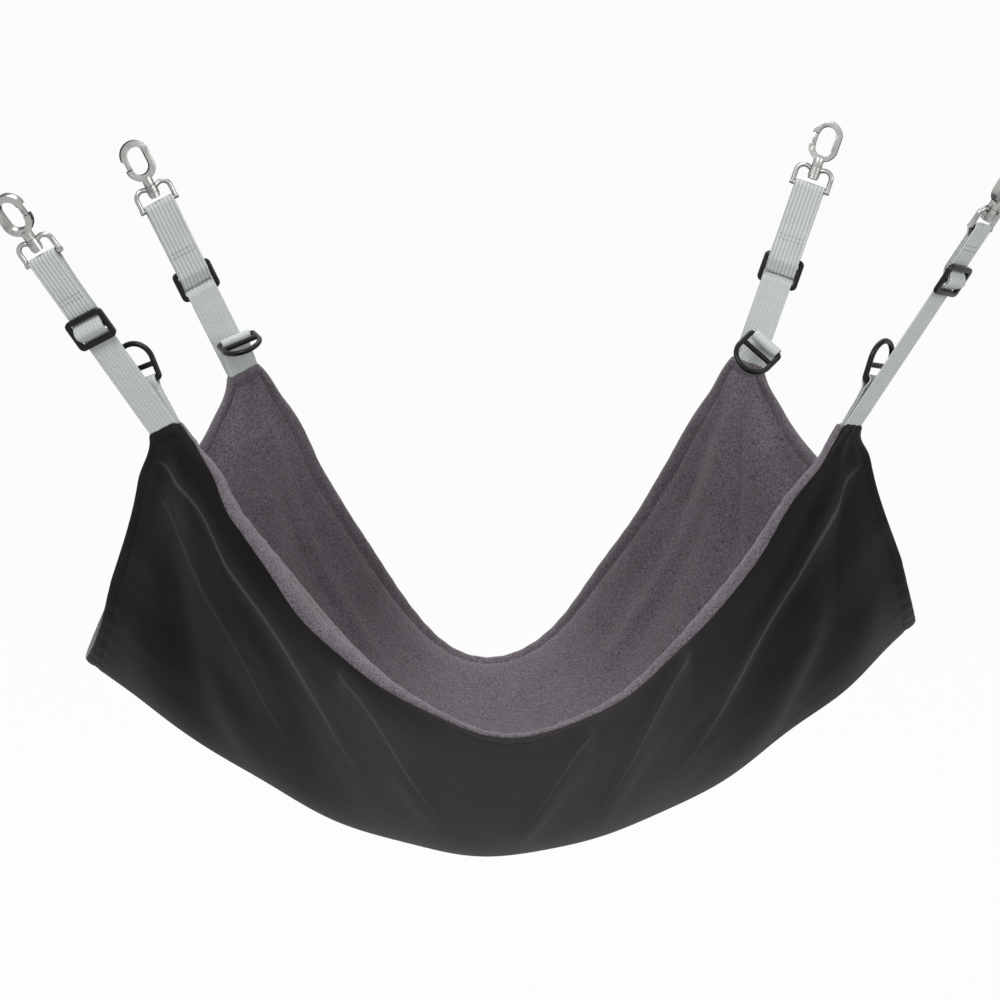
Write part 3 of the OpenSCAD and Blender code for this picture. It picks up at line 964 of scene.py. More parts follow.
@dataclass
class Sling:
    """The two-layer cloth, hung from its corners.

    The fields are the flat cloth's sizes and the same hang as the solids have, with angles in
    degrees. The rim's pairs are for its left and its right end, and four values are for the four
    corners. The hems are thicknesses of the two cloths at the edge steps, inward from the edge.
    """

    corners: dict[Corner, CornerFrame]
    length: float = 0.600
    width: float = 0.450
    shell_t: float = 0.0015
    corner_cut: float = 0.024
    corner_angle: float = 52.0
    cut_reach: float = 2.5
    belly_slope: float = 46.0
    front_slope: float = 56.5
    rear_slope: float = 62.5
    belly_bend: float = 0.185
    front_bend: float = 0.100
    rear_bend: float = 0.045
    front_rise: float = 0.118
    rear_rise: float = 0.066
    end_roundness: float = 0.12
    end_skew: float = 0.009
    roll_w: float = 0.026
    rear_roll: float = 0.006
    rim_inset: float = 0.022
    rim_calm: float = 0.025
    rim_power: float = 0.85
    rim_ease: float = 0.12
    rim_spare: tuple[float, float] = (0.010, 0.003)
    rim_lift: tuple[float, float] = (0.017, 0.015)
    rim_least: float = 20.0
    rim_turn: tuple[float, float] = (92.0, 75.0)
    rim_fade: tuple[float, float] = (0.285, 0.235)
    rim_waves: tuple[Triple, ...] = ((0.05, 43.0, 0.7), (0.03, 97.0, 2.1))
    rim_lead: int = 3
    corner_fill: float = 0.0016
    fill_from: float = 0.80
    fill_edge: float = 0.003
    fold_depth: float = 0.005
    fold_reach: float = 0.260
    fold_fan: float = 12.0
    skirt_h: float = 0.0034
    skirt_w: float = 0.0170
    skirt_off: float = 0.0110
    slack_h: float = 0.00045
    slack_waves: tuple[Triple, ...] = (
        (31.0, 17.0, 0.4), (-22.0, 41.0, 1.9), (57.0, -35.0, 4.1), (13.0, 66.0, 2.7), (-71.0, -20.0, 0.9),
    )
    pucker_h: float = 0.00035
    pucker_pitch: float = 0.0145
    pucker_inset: float = 0.0075
    pucker_w: float = 0.006
    pucker_drift: tuple[float, float] = (1.5, 37.0)
    slack_drift: tuple[float, float] = (2.0, 9.0)
    corner_flat: float = 0.030
    corner_reach: float = 0.105
    corner_turn: tuple[float, ...] = (9.0, 11.0, 8.0, 7.0)
    corner_spread: tuple[float, ...] = (0.10, 0.22, 0.0, 0.0)
    corner_hold: float = 0.4
    corner_calm: float = 0.8
    seam_gap: float = 0.002
    least_depth: float = 0.2
    table_step: float = 0.001
    stitch_inset: float = 0.009
    spacing: float = 0.0029
    layer_gap: float = 0.00005
    edge_steps: tuple[float, ...] = (
        0.0, 0.0005, 0.0014, 0.003, 0.005, 0.007, 0.0082, 0.009, 0.0098, 0.011, 0.0135, 0.0165,
    )
    pile_hem: tuple[float, ...] = (
        0.0006, 0.0017, 0.0026, 0.0033, 0.0034, 0.0027, 0.0017, 0.0013, 0.0017, 0.0024, 0.0029, 0.0030,
    )
    shell_hem: tuple[float, ...] = (
        0.0004, 0.0010, 0.0014, 0.0017, 0.0017, 0.0014, 0.0010, 0.0008, 0.0010, 0.0013, 0.0015, 0.0015,
    )
    p: Array = field(init=False, repr=False)
    q: Array = field(init=False, repr=False)
    grids: dict[str, Array] = field(default_factory=dict)

    def stations(self, extent: float) -> Array:
        """Places of the grid's lines from edge to edge, close together at the hems.

        Args:
            extent: The flat cloth's size that way.

        Returns:
            The places.
        """
        inner = extent / 2 - self.edge_steps[-1]
        count = int(round(2 * inner / self.spacing))
        body = np.linspace(-inner, inner, count + 1)
        hem = extent / 2 - np.array(self.edge_steps[:-1])
        return np.concatenate([-hem, body, hem[::-1]])

    def end_share(self, v: Array) -> Array:
        """How far a row is from the belly line, rounded there."""
        e = self.end_roundness
        return (np.sqrt(v * v + e * e) - e) / (math.sqrt(1 + e * e) - e)

    def rim_share(self, p: Array) -> Array:
        """How far the front rim rolls out: most between its middle and each corner."""
        return np.sin(np.pi * np.clip(2 * np.hypot(p, self.rim_calm) / self.length, 0, 1)) ** self.rim_power

    def by_side(self, p: Array, values: tuple[float, float]) -> Array:
        """The left value at the sling's left end, the right one at its right, eased between."""
        return mix(values[0], values[1], smooth(p / self.rim_ease + 0.5))

    def hang(self) -> tuple[Array, Array, Array]:
        """The hung sheet before its corners are gathered, as a fine table.

        Returns:
            Places along, places across, and the points.
        """
        p = np.linspace(-0.5, 0.5, int(round(self.length / self.table_step)) + 1) * self.length
        q = np.linspace(-0.5, 0.5, int(round(self.width / self.table_step)) + 1) * self.width
        v = 2 * q / self.width
        share = self.end_share(v)[:, None]
        front = (v < 0)[:, None]
        end_slope = mix(self.belly_slope, np.where(front, self.front_slope, self.rear_slope), share)
        bend = mix(self.belly_bend, np.where(front, self.front_bend, self.rear_bend), share)
        slope = np.radians(end_slope * np.tanh((p[1:] + p[:-1])[None] / 2 / bend))
        step = p[1] - p[0]

        def summed(rates: Array) -> Array:
            """Sums rates outward from the middle column."""
            total = np.concatenate([np.zeros((len(q), 1)), np.cumsum(rates * step, axis=1)], axis=1)
            return total - total[:, [len(p) // 2]]

        x, z = summed(np.cos(slope)), summed(np.sin(slope))
        rolled = np.clip((abs(q) - (self.width / 2 - self.roll_w)) / self.roll_w, 0, None)
        drop = np.where(q < 0, 0.0, self.rear_roll) * rolled**2
        z = z + (np.where(q < 0, self.front_rise, self.rear_rise) * v * v)[:, None]
        z = z - drop[:, None] * np.cos(np.pi * p / self.length)[None] ** 2
        z = z + self.end_skew * (2 * p / self.length)[None] * (1 - share)
        z = z + (self.by_side(p, self.rim_lift) * self.rim_share(p))[None] * smooth(-v)[:, None]
        d = q[1] - q[0]
        left = d * d - np.diff(x, axis=0) ** 2 - np.diff(z, axis=0) ** 2
        steps = np.sqrt(np.maximum((self.least_depth * d) ** 2, left))
        y = np.concatenate([np.zeros((1, len(p))), np.cumsum(steps, axis=0)])
        y = y - y[[len(q) // 2]]
        y = y - (y[0, len(p) // 2] + y[-1, len(p) // 2]) / 2
        return p, q, np.stack([x, y, z + self.shell_t], axis=-1)

    def read_hang(self) -> Array:
        """Reads the hung sheet at the grid's places.

        Returns:
            The points, between the table's.
        """
        table_p, table_q, table = self.hang()
        along = (self.p - table_p[0]) / (table_p[1] - table_p[0])
        across = (self.q - table_q[0]) / (table_q[1] - table_q[0])
        i = np.clip(along.astype(int), 0, len(table_p) - 2)
        j = np.clip(across.astype(int), 0, len(table_q) - 2)
        a, b = (along - i)[..., None], (across - j)[..., None]
        front = mix(table[j, i], table[j, i + 1], a)
        rear = mix(table[j + 1, i], table[j + 1, i + 1], a)
        return mix(front, rear, b)

    def roll_rim(self, sheet: Array) -> Array:
        """Rolls the front rim outward, so that its fleece shows.

        Args:
            sheet: The points.

        Returns:
            The rolled points.
        """
        p, places = self.stations(self.length), self.stations(self.width)
        start = int(np.argmin(abs(places + self.width / 2 - self.rim_inset)))
        share = self.rim_share(p)
        wave = 1 + sum(size * np.sin(p * rate + shift) for size, rate, shift in self.rim_waves)
        turn = np.radians(self.rim_least + self.by_side(p, self.rim_turn) * share * wave)
        base = sheet[start]
        ahead = unit(base - sheet[start + self.rim_lead])
        out = -self.normals(sheet)[start]
        run = np.linalg.norm(sheet[:start] - sheet[1 : start + 1], axis=-1)
        s = np.cumsum(run[::-1], axis=0)[::-1]
        width = s[0] + self.by_side(p, self.rim_spare) * share
        angle = turn * s / s[0]
        radius = width / turn
        rolled = base + ahead * (radius * np.sin(angle))[..., None]
        rolled = rolled + out * (radius * (1 - np.cos(angle)))[..., None]
        kept = smooth((self.rim_fade[0] - abs(p)) / (self.rim_fade[0] - self.rim_fade[1]))
        made = sheet.copy()
        made[:start] = mix(sheet[:start], rolled, kept[None, :, None])
        return made

    def blunt(self, p: Array, q: Array) -> tuple[Array, Array]:
        """Moves the grid's points off the cut corners of the flat cloth.

        Args:
            p: Places along.
            q: Places across.

        Returns:
            The moved places.
        """
        reach = self.cut_reach * self.corner_cut
        a = (self.length / 2 - abs(p)) / reach
        b = (self.width / 2 - abs(q)) / reach
        least, turn = np.minimum(a, b), a - b
        cut = self.corner_cut / reach * np.clip(1 - least, 0, 1)
        inside = (a < 1) & (b < 1) & (abs(turn) < cut)
        half = math.radians(self.corner_angle / 2)
        angle = np.pi / 4 * turn / np.maximum(cut, 1e-9)
        r = cut * math.cos(half) / np.cos(np.clip(angle * half / (np.pi / 4), -1.2, 1.2))
        a = np.where(inside, least + r * np.cos(np.pi / 4 - angle), a)
        b = np.where(inside, least + r * np.sin(np.pi / 4 - angle), b)
        return np.sign(p) * (self.length / 2 - a * reach), np.sign(q) * (self.width / 2 - b * reach)

    def own(self, corner: Corner) -> Array:
        """Which of the grid's places lie in a corner's quarter of the cloth."""
        return ((self.p < 0) == (corner.side_x < 0)) & ((self.q < 0) == (corner.side_y < 0))

    def gather(self, points: Array) -> tuple[Array, Array, Array]:
        """Turns the cloth near each corner into its strap's plane.

        Args:
            points: The hung points.

        Returns:
            The gathered points, the corner's share, and the corner's inward direction.
        """
        near = np.zeros(self.p.shape)
        face = np.zeros(points.shape)
        for (corner, frame), turned, spread in zip(
            self.corners.items(), self.corner_turn, self.corner_spread
        ):
            own = self.own(corner)
            dx = corner.side_x * self.length / 2 - self.p
            dy = corner.side_y * self.width / 2 - self.q
            r = np.hypot(dx, dy)
            share = smooth((self.corner_reach - r) / (self.corner_reach - self.corner_flat))
            across = (corner.side_y * dx - corner.side_x * dy) / math.sqrt(2)
            angle = np.arcsin(np.clip(across / np.maximum(r, 1e-9), -1, 1)) * self.corner_angle / 90
            opened = smooth((r - self.corner_cut) / self.corner_flat)
            angle = angle * (1 + spread * opened)
            angle = angle - math.radians(turned) * opened * corner.side_x * corner.side_y
            top = self.corner_cut * math.cos(math.radians(self.corner_angle / 2))
            down = np.maximum(0, r * np.cos(angle) - top) + self.seam_gap
            patch = frame.hinge + frame.across * (r * np.sin(angle))[..., None] - frame.up * down[..., None]
            points = np.where(own[..., None], mix(points, patch, share[..., None]), points)
            near = np.where(own, share, near)
            face = np.where(own[..., None], frame.inward, face)
        return points, near, face

    def corner_folds(self) -> Array:
        """The soft folds that fan in from the corners.

        Returns:
            Their heights toward the fleece side.
        """
        height = np.zeros(self.p.shape)
        for corner in self.corners:
            dx = abs(self.p - corner.side_x * self.length / 2)
            dy = abs(self.q - corner.side_y * self.width / 2)
            r = np.minimum(1, np.hypot(dx, dy) / self.fold_reach)
            angle = np.arctan2(dy, dx)
            fan = np.sin(2 * angle) * np.cos(self.fold_fan * angle)
            height = np.where(self.own(corner), self.fold_depth * np.sin(np.pi * r) ** 2 * fan, height)
        return height

    def tension_folds(self) -> Array:
        """The tension folds: out of the smooth face at the front, out of the fleece at the rear.

        Returns:
            Their heights toward the fleece side.
        """
        height = np.zeros(self.p.shape)
        for ridge in RIDGES:
            off, there = ridge.offset(self.p, self.q)
            skirt = self.skirt_h * np.exp(-(((off - self.skirt_off) / self.skirt_w) ** 2))
            height -= (ridge.profile(off) + skirt) * there
        for ridge in REAR_RIDGES:
            off, there = ridge.offset(self.p, self.q)
            height += ridge.profile(off) * there
        return height

    def slack(self) -> Array:
        """The faint unevenness all over, and the puckers along the hems.

        Returns:
            Their heights toward the fleece side.
        """
        p, q = self.p, self.q
        size, rate = self.slack_drift
        waves = (np.sin(p * a + q * b + c + size * np.sin(q * rate + c)) for a, b, c in self.slack_waves)
        uneven = sum(waves) * self.slack_h
        from_end, from_rim = self.length / 2 - abs(p), self.width / 2 - abs(q)
        along = np.where(from_end < from_rim, q, p)
        size, rate = self.pucker_drift
        drift = size * np.sin(along * rate)
        pucker = np.sin(along * TURN / self.pucker_pitch + drift) * self.pucker_h
        hem = (np.minimum(from_end, from_rim) - self.pucker_inset) / self.pucker_w
        return uneven + pucker * np.exp(-(hem**2))

    @staticmethod
    def normals(grid: Array) -> Array:
        """Directions square to a grid of points, on the fleece side."""
        return unit(np.cross(np.gradient(grid, axis=1), np.gradient(grid, axis=0)))

    def shape(self) -> None:
        """Works out the sheet where the two cloths meet, and both their faces."""
        flat_p, flat_q = np.meshgrid(self.stations(self.length), self.stations(self.width))
        inset = np.minimum(self.length / 2 - abs(flat_p), self.width / 2 - abs(flat_q))
        self.p, self.q = self.blunt(flat_p, flat_q)
        gathered, near, face = self.gather(self.read_hang())
        draped = self.roll_rim(gathered)
        held = smooth((near - self.corner_hold) / (1 - self.corner_hold))[..., None]
        normal = unit(mix(self.normals(draped), face, held))
        calm = 1 - near * self.corner_calm
        relief = self.corner_folds() + (self.tension_folds() + self.slack()) * calm
        sheet = draped + normal * relief[..., None]
        inward = unit(mix(self.normals(sheet), face, held))
        fill = smooth((near - self.fill_from) / (1 - self.fill_from)) * smooth(inset / self.fill_edge)
        pile = np.interp(inset, self.edge_steps, self.pile_hem) + self.corner_fill * fill
        shell = np.interp(inset, self.edge_steps, self.shell_hem)
        self.grids = {
            "sheet": sheet,
            "inward": inward,
            "fleece": sheet + inward * pile[..., None],
            "oxford": sheet - inward * shell[..., None],
        }

    def layer(self, name: str, low: Array, high: Array) -> Piece:
        """Makes one closed layer of cloth between two faces.

        Args:
            name: The piece's name.
            low: The grid on the outer side.
            high: The grid on the fleece side.

        Returns:
            The piece.
        """
        rows, cols = low.shape[:2]
        index = np.arange(2 * rows * cols).reshape(2, rows, cols)
        under, over = index
        quads = [
            np.stack([over[:-1, :-1], over[:-1, 1:], over[1:, 1:], over[1:, :-1]], -1).reshape(-1, 4),
            np.stack([under[:-1, :-1], under[1:, :-1], under[1:, 1:], under[:-1, 1:]], -1).reshape(-1, 4),
        ]
        sides = [index[:, 0, :], index[:, 1:, -1], index[:, -1, -2::-1], index[:, -2::-1, 0]]
        rim = np.concatenate(sides, axis=1)
        quads.append(np.stack([rim[0, :-1], rim[0, 1:], rim[1, 1:], rim[1, :-1]], -1))
        points = np.concatenate([low.reshape(-1, 3), high.reshape(-1, 3)])
        cut = np.tile(np.stack([self.p, self.q], axis=-1).reshape(-1, 2), (2, 1))
        return cut_piece(name, points, np.concatenate(quads).tolist(), cut)

    def hem_line(self, face: str) -> tuple[Array, Array]:
        """The hem's stitch line on one face, once round the cloth.

        Args:
            face: "fleece" or "oxford".

        Returns:
            The line's points and the directions out of that face there.
        """
        k = self.edge_steps.index(self.stitch_inset)
        side = 1 if face == "fleece" else -1

        def lap(grid: Array) -> Array:
            """One lap of a grid, k lines in from its edge."""
            g = grid[k : grid.shape[0] - k, k : grid.shape[1] - k]
            return np.concatenate([g[0, :], g[1:, -1], g[-1, -2::-1], g[-2:0:-1, 0]])

        return lap(self.grids[face]), lap(self.grids["inward"]) * side

    def build(self, finishes: Finishes) -> None:
        """Makes the two cloths and their hem stitches.

        Args:
            finishes: The hammock's finishes.
        """
        self.shape()
        sheet, inward = self.grids["sheet"], self.grids["inward"]
        gap = inward * self.layer_gap
        straps = [corner.node("strap") for corner in self.corners]
        fleece = self.layer("fleece_panel", sheet + gap, self.grids["fleece"])
        dress(fleece, finishes.fleece)
        oxford = self.layer("oxford_panel", self.grids["oxford"], sheet - gap)
        dress(oxford, finishes.oxford)
        for piece, node in ((fleece, "fleece_lining"), (oxford, "oxford_shell")):
            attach(piece, "sling")
            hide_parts(node)
        sewing = (("fleece", fleece, finishes.grey_thread), ("oxford", oxford, finishes.black_thread))
        for face, sewn, thread in sewing:
            line, out = self.hem_line(face)
            stitches = Stitches().sew(f"{face}_hem_stitches", line, out, closed=True)
            dress(stitches, thread)
            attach(stitches, "sling")


# Buckles and rings


def cube(size: Triple) -> Piece:
    """A cube about the origin, drawn out to a size.

    Args:
        size: Its three sides.

    Returns:
        The object.
    """
    deselect()
    bpy.ops.mesh.primitive_cube_add(size=1.0)
    made = bpy.context.active_object
    with editing(made):
        bpy.ops.transform.resize(value=size)
    return made


def combine(piece: Piece, tool: Piece, operation: str) -> None:
    """Cuts a tool out of a piece or joins it on, and removes the tool."""
    apply_modifier(piece, "BOOLEAN", object=tool, operation=operation, solver="EXACT")
    bpy.data.objects.remove(tool)


def placed(piece: Piece, origin: Array, x: Array, y: Array, z: Array) -> None:
    """Moves a piece's mesh into a frame, with its object left at the origin.

    Args:
        piece: The object, modelled about its own origin.
        origin: Where that origin goes.
        x: Where its X axis points.
        y: Where its Y axis points.
        z: Where its Z axis points.
    """
    rows = [[x[k], y[k], z[k], origin[k]] for k in range(3)]
    piece.data.transform(Matrix(rows + [[0, 0, 0, 1]]))
    piece.data.update()


def copied(piece: Piece, name: str) -> Piece:
    """A copy of a piece, with a bare mesh of its own.

    Args:
        piece: The object.
        name: The copy's name.

    Returns:
        The copy.
    """
    mesh = piece.data.copy()
    mesh.name = name
    mesh.materials.clear()
    return linked(name, mesh)


def rods(name: str, paths: Sequence[tuple[Array, bool]], radius: float) -> Piece:
    """Round rods along paths.

    Args:
        name: The object's name.
        paths: Each rod's points and whether it closes on itself.
        radius: The rods' radius.

    Returns:
        One mesh object.
    """
    curve = bpy.data.curves.new(name, "CURVE")
    curve.dimensions = "3D"
    curve.bevel_depth = radius
    curve.bevel_resolution = 5
    curve.use_fill_caps = True
    for points, closed in paths:
        spline = curve.splines.new("POLY")
        spline.points.add(len(points) - 1)
        for point, place in zip(spline.points, points):
            point.co = (*place, 1.0)
        spline.use_cyclic_u = closed
    activate(linked(name, curve))
    bpy.ops.object.convert(target="MESH")
    return bpy.context.view_layer.objects.active


@dataclass
class SliderBuckle:
    """Three-bar slider, stamped from plate with a round centre bar."""

    width: float = 0.0269
    height: float = 0.0205
    thickness: float = 0.0028
    bar: float = 0.0034
    inner: float = 0.0205
    core: float = 0.0028
    corner_r: float = 0.0034
    edge_r: float = 0.00055
    sharp: float = 40.0

    def model(self) -> Piece:
        """Models one slider about its own middle, its face square to Y.

        Returns:
            The slider.
        """
        plate = cube((self.width, self.thickness, self.height))
        plate.name = "slider_plate"
        bevel_edges(plate, lambda a, b: abs(a.y - b.y) > self.thickness / 2, self.corner_r, 7)
        window = cube((self.inner, 3 * self.thickness, self.height - 2 * self.bar))
        bevel_edges(window, lambda a, b: abs(a.y - b.y) > self.thickness, self.bar / 3, 5)
        combine(plate, window, "DIFFERENCE")
        angle = math.radians(self.sharp)
        apply_modifier(
            plate, "BEVEL", width=self.edge_r, segments=3, limit_method="ANGLE", angle_limit=angle
        )
        deselect()
        bpy.ops.mesh.primitive_cylinder_add(
            vertices=32, radius=self.core / 2, depth=self.inner + self.bar / 2, rotation=(0, math.pi / 2, 0)
        )
        core = bpy.context.active_object
        bpy.ops.object.transform_apply(location=False, rotation=True, scale=False)
        combine(plate, core, "UNION")
        soften(plate, self.sharp)
        return plate


@dataclass
class DRing:
    """Cast D-ring with a crossbar that keeps the webbing from its mouth."""

    half_width: float = 0.0120
    length: float = 0.0245
    crossbar: float = 0.0090
    rod: float = 0.0035
    corner_r: float = 0.0016
    voxel: float = 0.0003
    smoothing: int = 4

    def model(self) -> Piece:
        """Models one ring with its base bar on X and its arc toward +Z, fused into one skin.

        Returns:
            The ring.
        """
        w, r = self.half_width, self.corner_r
        top = self.length - w
        right = [(w - r + r * math.sin(a), 0.0, r - r * math.cos(a)) for a in np.linspace(0, np.pi / 2, 8)]
        bow = [(w * math.cos(a), 0.0, top + w * math.sin(a)) for a in np.linspace(0, np.pi, 40)]
        right += [(w, 0.0, z) for z in np.linspace(r, top, 8)[1:-1]]
        left = [(-x, y, z) for x, y, z in right[::-1]]
        bar = np.array([(x, 0.0, self.crossbar) for x in np.linspace(-w, w, 12)])
        ring = rods("d_ring_pattern", [(np.array(right + bow + left), True), (bar, False)], self.rod / 2)
        apply_modifier(ring, "REMESH", mode="VOXEL", voxel_size=self.voxel, use_smooth_shade=True)
        apply_modifier(ring, "SMOOTH", factor=0.5, iterations=self.smoothing)
        return ring


# Webbing


@dataclass
class Webbing:
    """Ribbed flat webbing along a path in a side view."""

    width: float = 0.020
    thickness: float = 0.0012
    relief: float = 0.00006
    across_steps: int = 42
    evenness: float = 0.75
    squareness: int = 14
    ribbed_share: float = 0.97
    along_step: float = 0.0011
    sharp: float = 50.0

    def section(self) -> Array:
        """The webbing's cross-section.

        Returns:
            Places across and heights, against the clock.
        """
        x = np.cos(np.linspace(np.pi, 0, self.across_steps + 1)) * self.width / 2
        x = mix(x, np.linspace(-0.5, 0.5, self.across_steps + 1) * self.width, self.evenness)
        x[0], x[-1] = -self.width / 2, self.width / 2
        out = abs(2 * x / self.width)
        body = (1 - out**self.squareness) ** 0.5 * (self.thickness / 2 - self.relief)
        ribs = self.relief * np.sin(TURN * (x + self.width / 2) / RIB_PITCH)
        ribs = ribs * (out < self.ribbed_share)
        upper = np.stack([x, body + ribs], -1)
        lower = np.stack([x, -body - ribs], -1)[-2:0:-1]
        return np.concatenate([upper, lower])

    def resample(self, path: Array) -> Array:
        """Evens out a path's points.

        Args:
            path: Points in the side view.

        Returns:
            Points at even steps along it.
        """
        run = run_length(path)
        count = max(2, int(round(run[-1] / self.along_step)))
        return read_along(np.linspace(0, run[-1], count + 1), run, path)

    def sweep(
        self, name: str, path: Array, origin: Array, across: Array, inward: Array, up: Array
    ) -> Piece:
        """Runs the webbing along a path.

        Args:
            name: The piece's name.
            path: Points of its middle line, as places inward and up.
            origin: Where the path's zero is.
            across: Direction across the webbing.
            inward: Direction of the path's first number.
            up: Direction of its second number.

        Returns:
            The piece.
        """
        line = self.resample(path)
        tangent = unit(np.gradient(line, axis=0))
        normal = np.stack([tangent[:, 1], -tangent[:, 0]], axis=-1)
        section = self.section()
        flat = line[:, None, :] + normal[:, None, :] * section[None, :, 1:2]
        points = origin + across * section[None, :, 0:1] + inward * flat[..., 0:1] + up * flat[..., 1:2]
        places = (section[None, :, 0] + self.width / 2, run_length(line)[:, None])
        cut = np.stack(np.broadcast_arrays(*places), axis=-1)
        faces = tube_faces(len(line), len(section))
        piece = cut_piece(name, points.reshape(-1, 3), faces, cut.reshape(-1, 2))
        with editing(piece):
            bpy.ops.mesh.normals_make_consistent(inside=False)
        soften(piece, self.sharp)
        return piece


def arc(centre: tuple[float, float], r: float, start: float, stop: float, count: int = 24) -> Array:
    """Points of an arc in a side view, between two angles in degrees."""
    a = np.radians(np.linspace(start, stop, count + 1))
    return np.stack([centre[0] + r * np.cos(a), centre[1] + r * np.sin(a)], axis=-1)


@dataclass
class Strap:
    """One corner's webbing: the lower strap, the loop above the slider, and the D-ring's loop."""

    frame: CornerFrame
    web: Webbing = field(default_factory=Webbing)
    buckle: SliderBuckle = field(default_factory=SliderBuckle)
    d_ring: DRing = field(default_factory=DRing)
    sewn: float = 0.008
    loop_sewn: float = 0.0145
    loop_lean: float = 0.0003
    inner_lean: float = 0.0010
    tail: float = 0.020
    ply_gap: float = 0.0001
    seat_gap: float = 0.00015
    lap_gap: float = 0.0003
    hump_angle: float = 50.0
    eye_r: float = 0.0016
    eye_gap: float = 0.0004
    root: float = 0.016
    root_sunk: float = 0.002
    root_free: float = 0.004
    bend_from: float = 0.002
    bend_gap: float = 0.001
    ring_start: float = 0.0035
    ring_hold: float = 0.0024
    ring_spread: float = 0.0065
    tacks: tuple[float, float] = (0.0055, 0.0085)
    tack_span: float = 0.42
    tack: Stitches = field(default_factory=lambda: Stitches(pitch=0.0021, length=0.0017, radius=0.00022))

    @property
    def tail_top(self) -> float:
        """Height of the sewn tail's end above the strap's seam."""
        return self.frame.slider + self.buckle.height / 2 + self.tail - self.buckle.bar / 2

    def through_slider(self) -> dict[str, Any]:
        """Places where the webbing goes through the slider, in the strap's side view.

        Returns:
            The slider's depth, the two radii round its centre bar, and the height and slope of the ramps.
        """
        t = self.web.thickness
        y = -(self.buckle.thickness / 2 + 2 * self.ply_gap + t / 2)
        wrap = self.buckle.core / 2 + self.ply_gap + t / 2
        hump = wrap + t + self.ply_gap
        ramp = self.buckle.height / 2 - self.buckle.bar - self.ply_gap
        angle = math.radians(self.hump_angle)
        run = unit(np.array([-(y - hump * math.cos(angle)), ramp - hump * math.sin(angle)]))
        return {"y": y, "wrap": wrap, "hump": hump, "ramp": ramp, "miter": (1 - run[1]) / run[0]}

    def lower_path(self) -> Array:
        """The lower strap, from the root piece's end up over the slider's centre bar.

        Returns:
            The path in the strap's side view.
        """
        z, way = self.frame.slider, self.through_slider()
        hump = arc((way["y"], z), way["hump"], 180 + self.hump_angle, 180 - self.hump_angle)
        top = self.buckle.height / 2 - self.lap_gap
        below, above = (0, z - way["ramp"]), (0, z + way["ramp"])
        return np.vstack([[(0, self.root)], [below], hump, [above], [(0, z + top)]])

    def loop_path(self) -> Array:
        """The upper strap: to the eye and back, round the centre bar, and up again as the sewn tail.

        Returns:
            The path in the strap's side view.
        """
        z, way, t = self.frame.slider, self.through_slider(), self.web.thickness
        tail_y = t + self.ply_gap
        back_y = 2 * tail_y
        eye = self.frame.eye - self.frame.hinge
        bar = np.array([eye @ self.frame.inward, eye @ self.frame.up])
        bight = t / 2 + self.seat_gap + self.eye_r
        parting = np.array([back_y, self.tail_top + t / 2])
        slack = parting - bar
        reach = float(np.linalg.norm(slack))
        end = math.degrees(math.atan2(slack[1], slack[0]) + math.acos(min(1.0, bight / reach)))
        return np.vstack([
            [(0, z + self.buckle.height / 2)],
            arc(tuple(bar), bight, 180, end),
            [parting],
            [(back_y, z + way["ramp"] - back_y * way["miter"])],
            arc((way["y"], z), way["wrap"], 0, -180 - self.hump_angle, 40),
            [(tail_y, z + way["ramp"] - tail_y * way["miter"])],
            [(tail_y, self.tail_top)],
        ])

    def ring_loop_path(self) -> Array:
        """The D-ring's loop: out of the seam, round the ring's bar and back, two plies thick.

        Returns:
            The path in the loop's side view.
        """
        frame, t = self.frame, self.web.thickness
        reach = frame.ring - frame.seam
        bar = np.array([reach @ frame.inward, reach @ frame.seam_up])
        bend = 2 * math.atan2(bar[0], bar[1])
        length = bend / math.sin(bend / 2) * float(np.linalg.norm(bar)) / 2
        ply = (t + self.ply_gap) / 2
        wrap = self.d_ring.rod / 2 + self.seat_gap + t / 2
        s = np.linspace(0, 1, 40)
        angle = bend * s
        line = np.stack([1 - np.cos(angle), np.sin(angle)], -1) * length / bend
        normal = np.stack([np.cos(angle), -np.sin(angle)], -1)
        spread = smooth(1 - (1 - s) * length / self.ring_spread)
        off = mix(ply, wrap, spread)[:, None]
        turn = np.linspace(np.pi, 0, 24)[1:-1]
        tip = np.array([math.sin(bend), math.cos(bend)])
        side = np.array([math.cos(bend), -math.sin(bend)])
        around = bar + wrap * (np.cos(turn)[:, None] * side + np.sin(turn)[:, None] * tip)
        outer = (-ply - self.loop_lean, -self.loop_sewn)
        inner = (ply - self.inner_lean, -self.loop_sewn)
        return np.vstack([[outer], line - normal * off, around, (line + normal * off)[::-1], [inner]])

